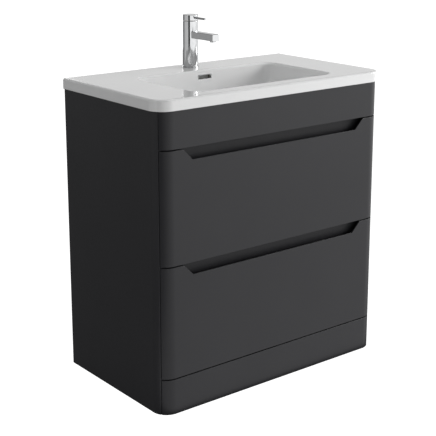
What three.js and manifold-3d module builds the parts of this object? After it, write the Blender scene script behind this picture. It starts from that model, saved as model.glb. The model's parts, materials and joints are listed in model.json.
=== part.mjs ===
// Bathroom vanity unit: a floor-standing cabinet with two drawers, a washbasin let into its top
// and a single-lever mixer tap. Millimetres; +X is right, -Y is the front, +Z is up.
// The origin is on the floor, under the middle of the basin.

import * as THREE from 'three';
import { mergeVertices } from 'three/addons/utils/BufferGeometryUtils.js';
import Module from 'manifold-3d';

const wasm = await Module();
wasm.setup();

// ---------------------------------------------------------------- driving dimensions

const BASIN_W = 810;
const BASIN_D = 465;
const BASIN_TOP = 862;
const CABINET_W = 800;
const CABINET_H = 831;
const FRONT_SETBACK = 2.5;
const CORNER_R = 45;
const BOARD = 18;
const FIT = 0.3;

const PLINTH_H = 100;
const LOWER_FRONT_H = 312;
const UPPER_FRONT_H = 310;
const FASCIA_H = 100;
const REVEAL = 3;
const SEAM = 2;

const SLOT_DEPTH = 30.5;
const SLOT_HALF_W = 296;
const SLOT_LAND = 4;
const RAIL_DROP = 6.5;
const UPPER_RAIL_RISE = 70;
const LOWER_RAIL_LAP = 10;
const UPPER_BACK_RAIL_H = 90;
const LOWER_BACK_RAIL_RISE = 82;
const PLINTH_BLOCK_LIFT = 5;
const FASCIA_BLOCK_H = 60;

const BOX_BOARD = 16;
const BOX_BASE = 8;
const BOX_RAISE = 15;
const BOX_SIDE_H = 185;
const BOX_LENGTH = 350;
const BASE_RAISE = 10;
const BRACKET_RAISE = 60;

const RUNNER_SPACE = 13;
const RUNNER_STEEL = 1.3;
const RUNNER_RAISE = 52;
const RUNNER_LENGTH = 345;
const RUNNER_START = 3;
const RUNNER_NEST = 2.6;

const BOWL_W = 510;
const BOWL_D = 295;
const BOWL_Y = -39;
const BOWL_CORNER_R = 40;
const BOWL_DEPTH = 115;
const BOWL_WALL = 9;
const BOWL_EDGE = 5;
const BOWL_FILLET = 32;
const BOWL_DRAFT = THREE.MathUtils.degToRad(6);
const BASIN_CORNER_R = 48;
const DECK = 13;
const SKIRT = 22;

const TAP_Y = 172;
const TAP_R = 23.5;
const TAP_TOP = 1019;
const CAP_H = 17;
const CAP_PIVOT_BACK = 10;
const CAP_LIFT = THREE.MathUtils.degToRad(18);
const SPOUT_W = 24;
const SPOUT_H = 20;
const SPOUT_TOP = 971;
const SPOUT_TIP_Y = 49.5;
const LEVER_R = 3.3;
const LEVER_Z = 1010.5;
const LEVER_TIP_Y = 99;
const SHANK_R = 16;
const SHANK_BOTTOM = 805;

const WASTE_TUBE_R = 22;
const WASTE_TUBE_BOTTOM = 682;
const PIPE_R = 20;
const PIPE_WALL = 2.5;
const PIPE_Z = 650;
const PIPE_BEND_R = 30;
const TRAP_Y = 178;
const TRAP_R = 28;

// ---------------------------------------------------------------- derived places

const FRONT_Y = -BASIN_D / 2 + FRONT_SETBACK;
const BACK_Y = BASIN_D / 2;
const BOARD_BACK_Y = FRONT_Y + BOARD;
const CARCASS_Y = BOARD_BACK_Y + SEAM;
const INNER_X = CABINET_W / 2 - BOARD;
const ARC_X = CABINET_W / 2 - CORNER_R;
const ARC_Y = FRONT_Y + CORNER_R;
const BOX_X = INNER_X - RUNNER_SPACE;
const LOWER_FRONT_Z = PLINTH_H + REVEAL;
const UPPER_FRONT_Z = LOWER_FRONT_Z + LOWER_FRONT_H + REVEAL;
const FASCIA_Z = UPPER_FRONT_Z + UPPER_FRONT_H + REVEAL;
const SLAB_Z = CABINET_H + FIT;
const BOWL_FLOOR_Z = BASIN_TOP - BOWL_DEPTH;
const BOWL_BACK_Y = BOWL_Y + BOWL_D / 2;
const CAP_Z = TAP_TOP - CAP_H;

// ---------------------------------------------------------------- materials

function material(color, roughness, metalness) {
  return new THREE.MeshStandardMaterial({ color, roughness, metalness });
}

const LACQUER = material(0x47484b, 0.55, 0);
const DRAWER_BOARD = material(0x8d8c88, 0.6, 0);
const CERAMIC = material(0xf3f3f1, 0.12, 0);
const CHROME = material(0xd5d7da, 0.06, 1);
const ZINC_STEEL = material(0xaeb2b6, 0.35, 1);
const WHITE_PLASTIC = material(0xe6e7e6, 0.4, 0);
const BRASS = material(0xb58f45, 0.35, 1);

// ---------------------------------------------------------------- shapes and solids

// The limits of a piece in x, from its distances to the middle plane; side is 1 right, -1 left.
function mirrored(side, near, far) {
  return side > 0 ? [near, far] : [-far, -near];
}

function board([xLow, xHigh], [yLow, yHigh], [zLow, zHigh]) {
  const geometry = new THREE.BoxGeometry(xHigh - xLow, yHigh - yLow, zHigh - zLow);
  return geometry.translate((xLow + xHigh) / 2, (yLow + yHigh) / 2, (zLow + zHigh) / 2);
}

function polygon(points) {
  return new THREE.Shape(points.map(([u, v]) => new THREE.Vector2(u, v)));
}

function extrude(shape, depth, curveSegments = 8) {
  return new THREE.ExtrudeGeometry(shape, { depth, curveSegments, bevelEnabled: false });
}

// A shape drawn in the XY plane, standing between two heights.
function extrudeUp(shape, [zLow, zHigh], curveSegments) {
  return extrude(shape, zHigh - zLow, curveSegments).translate(0, 0, zLow);
}

// A shape drawn in the XZ plane, running from front to back.
function extrudeBack(shape, [yLow, yHigh], curveSegments) {
  return extrude(shape, yHigh - yLow, curveSegments).rotateX(Math.PI / 2).translate(0, yHigh, 0);
}

// A shape drawn in the YZ plane, running from left to right.
function extrudeAcross(shape, [xLow, xHigh], curveSegments) {
  const alongX = new THREE.Matrix4().makeBasis(
    new THREE.Vector3(0, 1, 0),
    new THREE.Vector3(0, 0, 1),
    new THREE.Vector3(1, 0, 0),
  );
  return extrude(shape, xHigh - xLow, curveSegments).applyMatrix4(alongX).translate(xLow, 0, 0);
}

// A turned piece about a vertical axis: [radius, height] points from the bottom up.
function turned(profile, x, y, segments = 32) {
  const points = profile.map(([radius, z]) => new THREE.Vector2(radius, z));
  return new THREE.LatheGeometry(points, segments).rotateX(Math.PI / 2).translate(x, y, 0);
}

function disc(radius, [zLow, zHigh], x, y, segments) {
  return turned([[0, zLow], [radius, zLow], [radius, zHigh], [0, zHigh]], x, y, segments);
}

function ring(inner, outer, [zLow, zHigh], x, y, segments) {
  const profile = [[inner, zLow], [outer, zLow], [outer, zHigh], [inner, zHigh], [inner, zLow]];
  return turned(profile, x, y, segments);
}

// A nut with six flats and a round bore.
function nut(bore, outer, heights, x, y) {
  const corners = Array.from({ length: 6 }, (_, i) => i * Math.PI / 3);
  const section = polygon(corners.map((angle) => [outer * Math.cos(angle), outer * Math.sin(angle)]));
  section.holes.push(new THREE.Path().absarc(0, 0, bore, 0, 2 * Math.PI, true));
  return extrudeUp(section, heights, 16).translate(x, y, 0);
}

function toSolid(geometry) {
  const bare = geometry.clone();
  bare.deleteAttribute('normal');
  bare.deleteAttribute('uv');
  const merged = mergeVertices(bare, 1e-3);
  const corners = [];
  for (let i = 0; i < merged.index.count; i += 3) {
    const [a, b, c] = [0, 1, 2].map((step) => merged.index.getX(i + step));
    if (a !== b && b !== c && c !== a) corners.push(a, b, c);
  }
  return new wasm.Manifold(new wasm.Mesh({
    numProp: 3,
    vertProperties: merged.attributes.position.array,
    triVerts: new Uint32Array(corners),
  }));
}

function toGeometry(solid) {
  const mesh = solid.getMesh();
  const geometry = new THREE.BufferGeometry();
  geometry.setAttribute('position', new THREE.BufferAttribute(mesh.vertProperties, 3));
  geometry.setIndex(new THREE.BufferAttribute(mesh.triVerts, 1));
  geometry.computeVertexNormals();
  return geometry;
}

function carve(geometry, ...cutters) {
  return toGeometry(cutters.reduce((solid, cutter) => solid.subtract(toSolid(cutter)), toSolid(geometry)));
}

function fuse(geometry, ...others) {
  return toGeometry(others.reduce((solid, other) => solid.add(toSolid(other)), toSolid(geometry)));
}

const vanity = new THREE.Group();

function add(name, geometry, finish) {
  const mesh = new THREE.Mesh(geometry, finish);
  mesh.name = name;
  vanity.add(mesh);
  return mesh;
}

// ---------------------------------------------------------------- carcass

// Plan of every board on the front: flat, with both ends following the cabinet's round corners.
function frontPlan() {
  const seamAngle = Math.asin((CORNER_R - BOARD) / CORNER_R);
  const plan = new THREE.Shape();
  plan.absarc(-ARC_X, ARC_Y, CORNER_R, Math.PI + seamAngle, 1.5 * Math.PI, false);
  plan.absarc(ARC_X, ARC_Y, CORNER_R, 1.5 * Math.PI, 2 * Math.PI - seamAngle, false);
  plan.closePath();
  return plan;
}

// Plan of a side panel: square at the wall, its front edge carrying on the round corner.
function sidePlan(side) {
  const seamAngle = Math.asin((ARC_Y - CARCASS_Y) / CORNER_R);
  const steps = 6;
  const points = [[side * CABINET_W / 2, BACK_Y]];
  for (let i = 0; i <= steps; i++) {
    const angle = seamAngle * i / steps;
    points.push([side * (ARC_X + CORNER_R * Math.cos(angle)), ARC_Y - CORNER_R * Math.sin(angle)]);
  }
  points.push([side * INNER_X, CARCASS_Y], [side * INNER_X, BACK_Y]);
  return polygon(points);
}

function addCarcass() {
  const between = [-INNER_X + FIT, INNER_X - FIT];
  const railY = [CARCASS_Y, CARCASS_Y + BOARD];
  const backY = [BACK_Y - BOARD, BACK_Y];
  const upperSlotZ = FASCIA_Z - REVEAL - SLOT_DEPTH;
  const lowerSlotZ = UPPER_FRONT_Z - REVEAL - SLOT_DEPTH;
  const upperRailZ = [upperSlotZ - RAIL_DROP, upperSlotZ + UPPER_RAIL_RISE];
  const lowerRailZ = [lowerSlotZ - RAIL_DROP, UPPER_FRONT_Z + LOWER_RAIL_LAP];
  const basePanelZ = [PLINTH_H + REVEAL - BOARD, PLINTH_H + REVEAL];
  const upperBackZ = [CABINET_H - UPPER_BACK_RAIL_H, CABINET_H];
  const lowerBackZ = [basePanelZ[0], basePanelZ[1] + LOWER_BACK_RAIL_RISE];

  add('plinth_front', extrudeUp(frontPlan(), [0, PLINTH_H]), LACQUER);
  add('top_fascia', extrudeUp(frontPlan(), [FASCIA_Z, CABINET_H]), LACQUER);
  add('upper_finger_rail', board(between, railY, upperRailZ), LACQUER);
  add('lower_finger_rail', board(between, railY, lowerRailZ), LACQUER);
  add('base_panel', board(between, [CARCASS_Y, BACK_Y - BOARD - FIT], basePanelZ), DRAWER_BOARD);
  add('upper_back_rail', board(between, backY, upperBackZ), DRAWER_BOARD);
  add('lower_back_rail', board(between, backY, lowerBackZ), DRAWER_BOARD);

  for (const [hand, side] of [['left', -1], ['right', 1]]) {
    const blockX = mirrored(side, INNER_X - BOARD, INNER_X - FIT);
    const blockY = [BOARD_BACK_Y + FIT, BOARD_BACK_Y + BOARD];
    const plinthBlockZ = [PLINTH_BLOCK_LIFT, basePanelZ[0] - FIT];
    const fasciaBlockZ = [CABINET_H - FASCIA_BLOCK_H, CABINET_H - FIT];
    add(`side_panel_${hand}`, extrudeUp(sidePlan(side), [0, CABINET_H]), LACQUER);
    add(`plinth_block_${hand}`, board(blockX, blockY, plinthBlockZ), DRAWER_BOARD);
    add(`fascia_block_${hand}`, board(blockX, blockY, fasciaBlockZ), DRAWER_BOARD);
    add(`wall_bracket_${hand}`, wallBracket(side), ZINC_STEEL);
  }
}

// A steel angle in the rear corner: one leg on the side panel, one leg flat against the wall.
function wallBracket(side) {
  const [thickness, leg, width, holeR] = [2, 40, 30, 4];
  const [zLow, outerX, wallY] = [690, INNER_X - FIT, BACK_Y];
  const outline = [
    [outerX, wallY - leg],
    [outerX, wallY],
    [outerX - leg, wallY],
    [outerX - leg, wallY - thickness],
    [outerX - thickness, wallY - thickness],
    [outerX - thickness, wallY - leg],
  ].map(([x, y]) => [side * x, y]);
  const angle = extrudeUp(polygon(outline), [zLow, zLow + width]);
  const hole = disc(holeR, [-leg, leg], 0, 0, 16);
  const middleZ = zLow + width / 2;
  const wallHole = hole.clone().rotateX(Math.PI / 2).translate(side * (outerX - 0.6 * leg), wallY, middleZ);
  const sideHole = hole.clone().rotateY(Math.PI / 2).translate(side * outerX, wallY - 0.6 * leg, middleZ);
  return carve(angle, wallHole, sideHole);
}

// ---------------------------------------------------------------- drawers

// The finger slot is a flat-bottomed notch with 45-degree ends. Behind a narrow land it opens out
// towards the back, so that the fingers reach behind the front.
function slotCutters(frontTop) {
  const slotZ = frontTop - SLOT_DEPTH;
  const above = SLOT_DEPTH + 5;
  const outline = polygon([
    [-SLOT_HALF_W, slotZ],
    [SLOT_HALF_W, slotZ],
    [SLOT_HALF_W + above, slotZ + above],
    [-SLOT_HALF_W - above, slotZ + above],
  ]);
  const through = extrudeBack(outline, [FRONT_Y - 5, BOARD_BACK_Y + 5]);
  const scoopDepth = BOARD - SLOT_LAND + 1;
  const scoop = extrudeBack(outline, [FRONT_Y + SLOT_LAND, BOARD_BACK_Y + 1]);
  const position = scoop.attributes.position;
  for (let i = 0; i < position.count; i++) {
    const atBack = position.getY(i) > BOARD_BACK_Y;
    const low = position.getZ(i) < slotZ + 1;
    const spread = low ? Math.SQRT2 - 1 : Math.SQRT2;
    if (!atBack) continue;
    position.setX(i, position.getX(i) + Math.sign(position.getX(i)) * spread * scoopDepth);
    if (low) position.setZ(i, position.getZ(i) - scoopDepth);
  }
  return [through, scoop];
}

function addDrawer(level, frontZ, frontHeight) {
  const frontTop = frontZ + frontHeight;
  const boxZ = frontZ + BOX_RAISE;
  const boxTop = boxZ + BOX_SIDE_H;
  const boxY = [BOARD_BACK_Y + FIT, BOARD_BACK_Y + FIT + BOX_LENGTH];
  const insideX = [-BOX_X + BOX_BOARD + FIT, BOX_X - BOX_BOARD - FIT];
  const baseZ = [boxZ + BASE_RAISE, boxZ + BASE_RAISE + BOX_BASE];
  const backY = [boxY[1] - BOX_BOARD, boxY[1]];

  const front = extrudeUp(frontPlan(), [frontZ, frontTop]);
  add(`${level}_drawer_front`, carve(front, ...slotCutters(frontTop)), LACQUER);
  add(`${level}_drawer_base`, board(insideX, boxY, baseZ), DRAWER_BOARD);
  add(`${level}_drawer_back`, board(insideX, backY, [baseZ[1] + FIT, boxTop]), DRAWER_BOARD);

  for (const [hand, side] of [['left', -1], ['right', 1]]) {
    const sideX = mirrored(side, BOX_X - BOX_BOARD, BOX_X);
    add(`${level}_drawer_side_${hand}`, board(sideX, boxY, [boxZ, boxTop]), DRAWER_BOARD);
    add(`${level}_front_bracket_${hand}`, frontBracket(side, baseZ[1] + BRACKET_RAISE), ZINC_STEEL);
    addRunner(level, hand, side, boxZ + RUNNER_RAISE);
  }
}

// A steel angle in the box's front corner, which screws the drawer side to the drawer front.
function frontBracket(side, zLow) {
  const [thickness, leg, height] = [1.5, 28, 70];
  const cornerX = BOX_X - BOX_BOARD - FIT;
  const cornerY = BOARD_BACK_Y + FIT;
  const outline = [
    [cornerX, cornerY],
    [cornerX, cornerY + leg],
    [cornerX - thickness, cornerY + leg],
    [cornerX - thickness, cornerY + thickness],
    [cornerX - leg, cornerY + thickness],
    [cornerX - leg, cornerY],
  ].map(([x, y]) => [side * x, y]);
  return extrudeUp(polygon(outline), [zLow, zLow + height]);
}

// Three nested steel channels: on the side panel, between, and on the drawer side.
function addRunner(level, hand, side, z) {
  const startY = CARCASS_Y + RUNNER_START;
  const lengths = [startY, startY + RUNNER_LENGTH];
  const [cabinetHalf, middleHalf, drawerHalf] = [22.5, 18.5, 14.5];
  const [cabinetLip, middleLip, drawerLip] = [-9, -7.5, 7];
  const cabinet = channel(side, z, cabinetHalf, INNER_X - FIT, cabinetLip);
  const middle = channel(side, z, middleHalf, INNER_X - FIT - RUNNER_NEST, middleLip);
  const drawer = channel(side, z, drawerHalf, BOX_X + FIT, drawerLip);
  add(`${level}_runner_cabinet_${hand}`, extrudeBack(cabinet, lengths), ZINC_STEEL);
  add(`${level}_runner_middle_${hand}`, extrudeBack(middle, lengths), ZINC_STEEL);
  add(`${level}_runner_drawer_${hand}`, extrudeBack(drawer, lengths), ZINC_STEEL);
}

// Section of a channel on its side: a web at webX and two lips that run reach from it in x.
function channel(side, z, halfHeight, webX, reach) {
  const steel = RUNNER_STEEL;
  const inwards = Math.sign(reach);
  return polygon([
    [webX, z - halfHeight],
    [webX, z + halfHeight],
    [webX + reach, z + halfHeight],
    [webX + reach, z + halfHeight - steel],
    [webX + inwards * steel, z + halfHeight - steel],
    [webX + inwards * steel, z - halfHeight + steel],
    [webX + reach, z - halfHeight + steel],
    [webX + reach, z - halfHeight],
  ].map(([x, height]) => [side * x, height]));
}

// ---------------------------------------------------------------- basin

// A rectangle centred on x = 0 whose front and back corners have radii of their own.
function roundedPlan(width, yLow, yHigh, frontR, backR) {
  const halfW = width / 2;
  const plan = new THREE.Shape();
  plan.absarc(-halfW + frontR, yLow + frontR, frontR, Math.PI, 1.5 * Math.PI, false);
  plan.absarc(halfW - frontR, yLow + frontR, frontR, 1.5 * Math.PI, 2 * Math.PI, false);
  plan.absarc(halfW - backR, yHigh - backR, backR, 0, 0.5 * Math.PI, false);
  plan.absarc(-halfW + backR, yHigh - backR, backR, 0.5 * Math.PI, Math.PI, false);
  plan.closePath();
  return plan;
}

// Levels of the bowl from its floor up: a round floor edge, a drafted wall and an eased top edge.
// grow moves the surface outwards, for the outside of the bowl.
function bowlLevels(grow, topZ) {
  const wallTop = BASIN_TOP - BOWL_EDGE;
  const filletZ = BOWL_FLOOR_Z + BOWL_FILLET;
  const wallInset = (z) => 3 + (wallTop - z) * Math.tan(BOWL_DRAFT) - grow;
  const fillet = BOWL_FILLET + grow;
  const steps = 4;
  const levels = [];
  for (let i = 0; i <= steps; i++) {
    const angle = 0.5 * Math.PI * (1 - i / steps);
    levels.push([filletZ - fillet * Math.sin(angle), wallInset(filletZ) + fillet * (1 - Math.cos(angle))]);
  }
  if (grow > 0) return [...levels, [topZ, wallInset(topZ)]];
  return [...levels, [wallTop, wallInset(wallTop)], [BASIN_TOP - 1, 0.6], [BASIN_TOP, 0], [topZ, 0]];
}

// A closed form whose plan is the bowl's rounded rectangle, drawn in by an inset at each height.
function bowlForm(levels) {
  const plan = roundedPlan(BOWL_W, -BOWL_D / 2, BOWL_D / 2, BOWL_CORNER_R, BOWL_CORNER_R);
  const steps = levels.length - 1;
  const settings = { depth: steps, steps, curveSegments: 6, bevelEnabled: false };
  const geometry = new THREE.ExtrudeGeometry(plan, settings);
  const core = new THREE.Vector2(BOWL_W / 2 - BOWL_CORNER_R, BOWL_D / 2 - BOWL_CORNER_R);
  const position = geometry.attributes.position;
  for (let i = 0; i < position.count; i++) {
    const [z, inset] = levels[Math.round(position.getZ(i))];
    const [x, y] = [position.getX(i), position.getY(i)];
    const [signX, signY] = [Math.sign(x), Math.sign(y)];
    const radius = Math.max(BOWL_CORNER_R - inset, 14);
    const shift = inset + radius - BOWL_CORNER_R;
    const alongX = (Math.abs(x) - core.x) / BOWL_CORNER_R;
    const alongY = (Math.abs(y) - core.y) / BOWL_CORNER_R;
    const newX = signX * (core.x - shift + radius * alongX);
    const newY = signY * (core.y - shift + radius * alongY);
    position.setXYZ(i, newX, newY + BOWL_Y, z);
  }
  return geometry;
}

// Places a geometry drawn about the origin, its face towards -Y, on the bowl's sloping back wall.
function onBackWall(geometry, z) {
  const wallInset = 3 + (BASIN_TOP - BOWL_EDGE - z) * Math.tan(BOWL_DRAFT);
  return geometry.rotateX(-BOWL_DRAFT).translate(0, BOWL_BACK_Y - wallInset, z);
}

function addBasin() {
  const overflowZ = 841;
  const [overflowW, overflowH] = [54, 17];
  const halfD = BASIN_D / 2;
  const slab = extrudeUp(roundedPlan(BASIN_W, -halfD, halfD, BASIN_CORNER_R, 4), [SLAB_Z, BASIN_TOP], 10);
  const hollowPlan = roundedPlan(BASIN_W - 2 * SKIRT, -halfD + SKIRT, halfD - SKIRT, BASIN_CORNER_R - SKIRT, 6);
  const hollow = extrudeUp(hollowPlan, [SLAB_Z - 5, BASIN_TOP - DECK], 6);
  const shell = fuse(carve(slab, hollow), bowlForm(bowlLevels(BOWL_WALL, BASIN_TOP - DECK / 2)));
  const overflowHole = onBackWall(board([-25, 25], [-20, 40], [-6.5, 6.5]), overflowZ);
  const basin = carve(
    shell,
    bowlForm(bowlLevels(0, BASIN_TOP + 5)),
    disc(SHANK_R + 1.5, [SLAB_Z - 10, BASIN_TOP + 10], 0, TAP_Y),
    disc(WASTE_TUBE_R + 1, [BOWL_FLOOR_Z - 30, BOWL_FLOOR_Z + 30], 0, BOWL_Y),
    overflowHole,
  );
  add('basin', basin, CERAMIC);

  const [halfW, halfH] = [overflowW / 2, overflowH / 2];
  const plate = board([-halfW, halfW], [-1.8, -FIT], [-halfH, halfH]);
  const sleeve = board([-24.6, 24.6], [-FIT - 0.5, 6], [-6.1, 6.1]);
  const opening = board([-23.4, 23.4], [-20, 20], [-4.9, 4.9]);
  add('overflow_trim', onBackWall(carve(fuse(plate, sleeve), opening), overflowZ), CHROME);
  addOverflowDuct();
}

// A flat moulded channel: behind the bowl's back wall, down, and forward under the bowl's floor.
function addOverflowDuct() {
  const [thickness, halfWidth] = [14, 26];
  const backY = BOWL_BACK_Y + 26;
  const underZ = BOWL_FLOOR_Z - BOWL_WALL - 5;
  const collarY = BOWL_Y + 30 + FIT;
  const outline = polygon([
    [backY, BASIN_TOP - DECK - 1],
    [backY - thickness, BASIN_TOP - DECK - 1],
    [backY - thickness, underZ],
    [collarY, underZ],
    [collarY, underZ - thickness],
    [backY, underZ - thickness],
  ]);
  add('overflow_duct', extrudeAcross(outline, [-halfWidth, halfWidth]), WHITE_PLASTIC);
}

// ---------------------------------------------------------------- waste and trap

function addWaste() {
  const floor = BOWL_FLOOR_Z;
  const under = floor - BOWL_WALL - FIT;
  const tube = WASTE_TUBE_R;
  const flangeProfile = [
    [tube - 3, WASTE_TUBE_BOTTOM],
    [tube, WASTE_TUBE_BOTTOM],
    [tube, floor + FIT],
    [tube + 10, floor + FIT],
    [tube + 9, floor + 2],
    [tube - 1, floor + 3],
    [tube - 3, floor + 1],
    [tube - 3, WASTE_TUBE_BOTTOM],
  ];
  add('waste_flange', turned(flangeProfile, 0, BOWL_Y), CHROME);

  const plugProfile = [
    [0, floor - 34],
    [4, floor - 34],
    [4, floor + 3.4],
    [tube + 6, floor + 3.4],
    [tube + 7, floor + 5],
    [tube + 3, floor + 7.5],
    [0, floor + 9],
  ];
  add('waste_plug', turned(plugProfile, 0, BOWL_Y), CHROME);

  const collarZ = [under - 30, under];
  const nutZ = [collarZ[0] - 14 - FIT, collarZ[0] - FIT];
  add('waste_collar', ring(tube + FIT, tube + 8, collarZ, 0, BOWL_Y), WHITE_PLASTIC);
  add('waste_nut', nut(tube + FIT, tube + 9, nutZ, 0, BOWL_Y), BRASS);

  const path = new THREE.CurvePath();
  const top = new THREE.Vector3(0, BOWL_Y, WASTE_TUBE_BOTTOM - FIT);
  const bendTop = new THREE.Vector3(0, BOWL_Y, PIPE_Z + PIPE_BEND_R);
  const corner = new THREE.Vector3(0, BOWL_Y, PIPE_Z);
  const bendEnd = new THREE.Vector3(0, BOWL_Y + PIPE_BEND_R, PIPE_Z);
  const end = new THREE.Vector3(0, TRAP_Y - TRAP_R - FIT, PIPE_Z);
  path.add(new THREE.LineCurve3(top, bendTop));
  path.add(new THREE.QuadraticBezierCurve3(bendTop, corner, bendEnd));
  path.add(new THREE.LineCurve3(bendEnd, end));
  add('waste_pipe', hollowPipe(path, 16), WHITE_PLASTIC);

  const bodyZ = [PIPE_Z - 55, PIPE_Z + 42];
  const cupZ = [bodyZ[0] - 55, bodyZ[0] - FIT];
  const body = turned([
    [0, bodyZ[0]],
    [TRAP_R, bodyZ[0]],
    [TRAP_R, bodyZ[1] - 8],
    [TRAP_R - 8, bodyZ[1]],
    [0, bodyZ[1]],
  ], 0, TRAP_Y);
  add('trap_body', body, WHITE_PLASTIC);
  const cup = turned([
    [0, cupZ[0]],
    [TRAP_R - 7, cupZ[0]],
    [TRAP_R - 1, cupZ[0] + 7],
    [TRAP_R - 1, cupZ[1] - 24],
    [TRAP_R + 4, cupZ[1] - 22],
    [TRAP_R + 4, cupZ[1]],
    [0, cupZ[1]],
  ], 0, TRAP_Y, 24);
  add('trap_cup', cup, WHITE_PLASTIC);

  const outletPath = new THREE.LineCurve3(
    new THREE.Vector3(0, TRAP_Y + TRAP_R + FIT, PIPE_Z + 14),
    new THREE.Vector3(0, BACK_Y, PIPE_Z + 14),
  );
  add('trap_outlet', hollowPipe(outletPath, 1), WHITE_PLASTIC);
}

function hollowPipe(path, steps) {
  const section = new THREE.Shape().absarc(0, 0, PIPE_R, 0, 2 * Math.PI, false);
  section.holes.push(new THREE.Path().absarc(0, 0, PIPE_R - PIPE_WALL, 0, 2 * Math.PI, true));
  return new THREE.ExtrudeGeometry(section, { steps, curveSegments: 10, extrudePath: path });
}

// ---------------------------------------------------------------- tap

function addTap() {
  const seatTop = BASIN_TOP + 3;
  const bodyTop = CAP_Z - 1.2;
  const chamberZ = bodyTop - 24;
  const body = turned([
    [0, SHANK_BOTTOM],
    [SHANK_R, SHANK_BOTTOM],
    [SHANK_R, seatTop],
    [TAP_R, seatTop],
    [TAP_R, bodyTop],
    [TAP_R - 5, bodyTop],
    [TAP_R - 5, chamberZ],
    [0, chamberZ],
  ], 0, TAP_Y, 40);
  const spoutX = [-SPOUT_W / 2, SPOUT_W / 2];
  const spout = board(spoutX, [SPOUT_TIP_Y, TAP_Y - 8], [SPOUT_TOP - SPOUT_H, SPOUT_TOP]);
  const aeratorY = SPOUT_TIP_Y + 14;
  const aeratorZ = SPOUT_TOP - SPOUT_H;
  const aeratorSeat = disc(8, [aeratorZ - 5, aeratorZ + 6], 0, aeratorY, 24);
  const inletZ = [SHANK_BOTTOM - 5, SHANK_BOTTOM + 14];
  const inlets = [-1, 1].map((side) => disc(4.5, inletZ, 7 * side, TAP_Y, 16));
  add('tap_body', carve(fuse(body, spout), aeratorSeat, ...inlets), CHROME);

  const seat = ring(SHANK_R + FIT, TAP_R + 1.8, [BASIN_TOP + FIT, seatTop - FIT], 0, TAP_Y, 40);
  add('tap_base_ring', seat, CHROME);
  const nutTop = BASIN_TOP - DECK - FIT;
  add('tap_nut', nut(SHANK_R + FIT, TAP_R, [nutTop - 11, nutTop], 0, TAP_Y), BRASS);

  const aerator = turned([
    [0, aeratorZ - 4],
    [8, aeratorZ - 4],
    [8.6, aeratorZ - 3.4],
    [8.6, aeratorZ - FIT],
    [7.7, aeratorZ - FIT],
    [7.7, aeratorZ + 5],
    [0, aeratorZ + 5],
  ], 0, aeratorY, 24);
  add('tap_aerator', aerator, CHROME);

  const cartridge = turned([
    [0, chamberZ + FIT],
    [TAP_R - 5.5, chamberZ + FIT],
    [TAP_R - 5.5, bodyTop - 4],
    [9, bodyTop - 4],
    [9, bodyTop - 15],
    [0, bodyTop - 15],
  ], 0, TAP_Y);
  add('tap_cartridge', cartridge, WHITE_PLASTIC);
  const carrier = ring(9, TAP_R - 6.5, [bodyTop - 4 + FIT, bodyTop - 1], 0, TAP_Y);
  add('tap_carrier', carrier, BRASS);

  addHandle(bodyTop);
}

// Cap and pin lever; the cap's stem reaches down into the cartridge. Behind the pivot the cap's
// underside rises, which lets the cap tip back.
function addHandle(bodyTop) {
  const cap = turned([
    [0, bodyTop - 11],
    [4, bodyTop - 11],
    [4, CAP_Z],
    [TAP_R, CAP_Z],
    [TAP_R, TAP_TOP - 1],
    [TAP_R - 1, TAP_TOP],
    [0, TAP_TOP],
  ], 0, TAP_Y, 40);
  const pivotY = TAP_Y + CAP_PIVOT_BACK;
  const reach = 20;
  const relief = polygon([
    [pivotY, CAP_Z - 1],
    [pivotY, CAP_Z],
    [pivotY + reach, CAP_Z + reach * Math.tan(CAP_LIFT * 1.03)],
    [pivotY + reach, CAP_Z - 1],
  ]);
  add('tap_cap', carve(cap, extrudeAcross(relief, [-2 * TAP_R, 2 * TAP_R])), CHROME);

  const leverLength = TAP_Y - TAP_R - FIT - LEVER_TIP_Y;
  const lever = turned([
    [0, 0],
    [LEVER_R, 0],
    [LEVER_R, leverLength - 0.6],
    [LEVER_R - 0.6, leverLength],
    [0, leverLength],
  ], 0, 0, 20);
  add('tap_lever', lever.rotateX(Math.PI / 2).translate(0, TAP_Y - TAP_R - FIT, LEVER_Z), CHROME);
}

addCarcass();
addDrawer('lower', LOWER_FRONT_Z, LOWER_FRONT_H);
addDrawer('upper', UPPER_FRONT_Z, UPPER_FRONT_H);
addBasin();
addWaste();
addTap();

export default vanity;
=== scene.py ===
"""Looks of a two-drawer bathroom vanity cabinet with an inset basin and a single-lever mixer tap.

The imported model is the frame: every place and most sizes come from its nodes. Each sub-assembly is
a class that builds its surfaces with numpy and dresses them. Lengths are metres; MM turns
millimetres into metres. +X is right, -Y is the front and +Z is up.
"""

import json
import logging
import math
from collections.abc import Sequence
from dataclasses import dataclass, field
from enum import Enum

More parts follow.
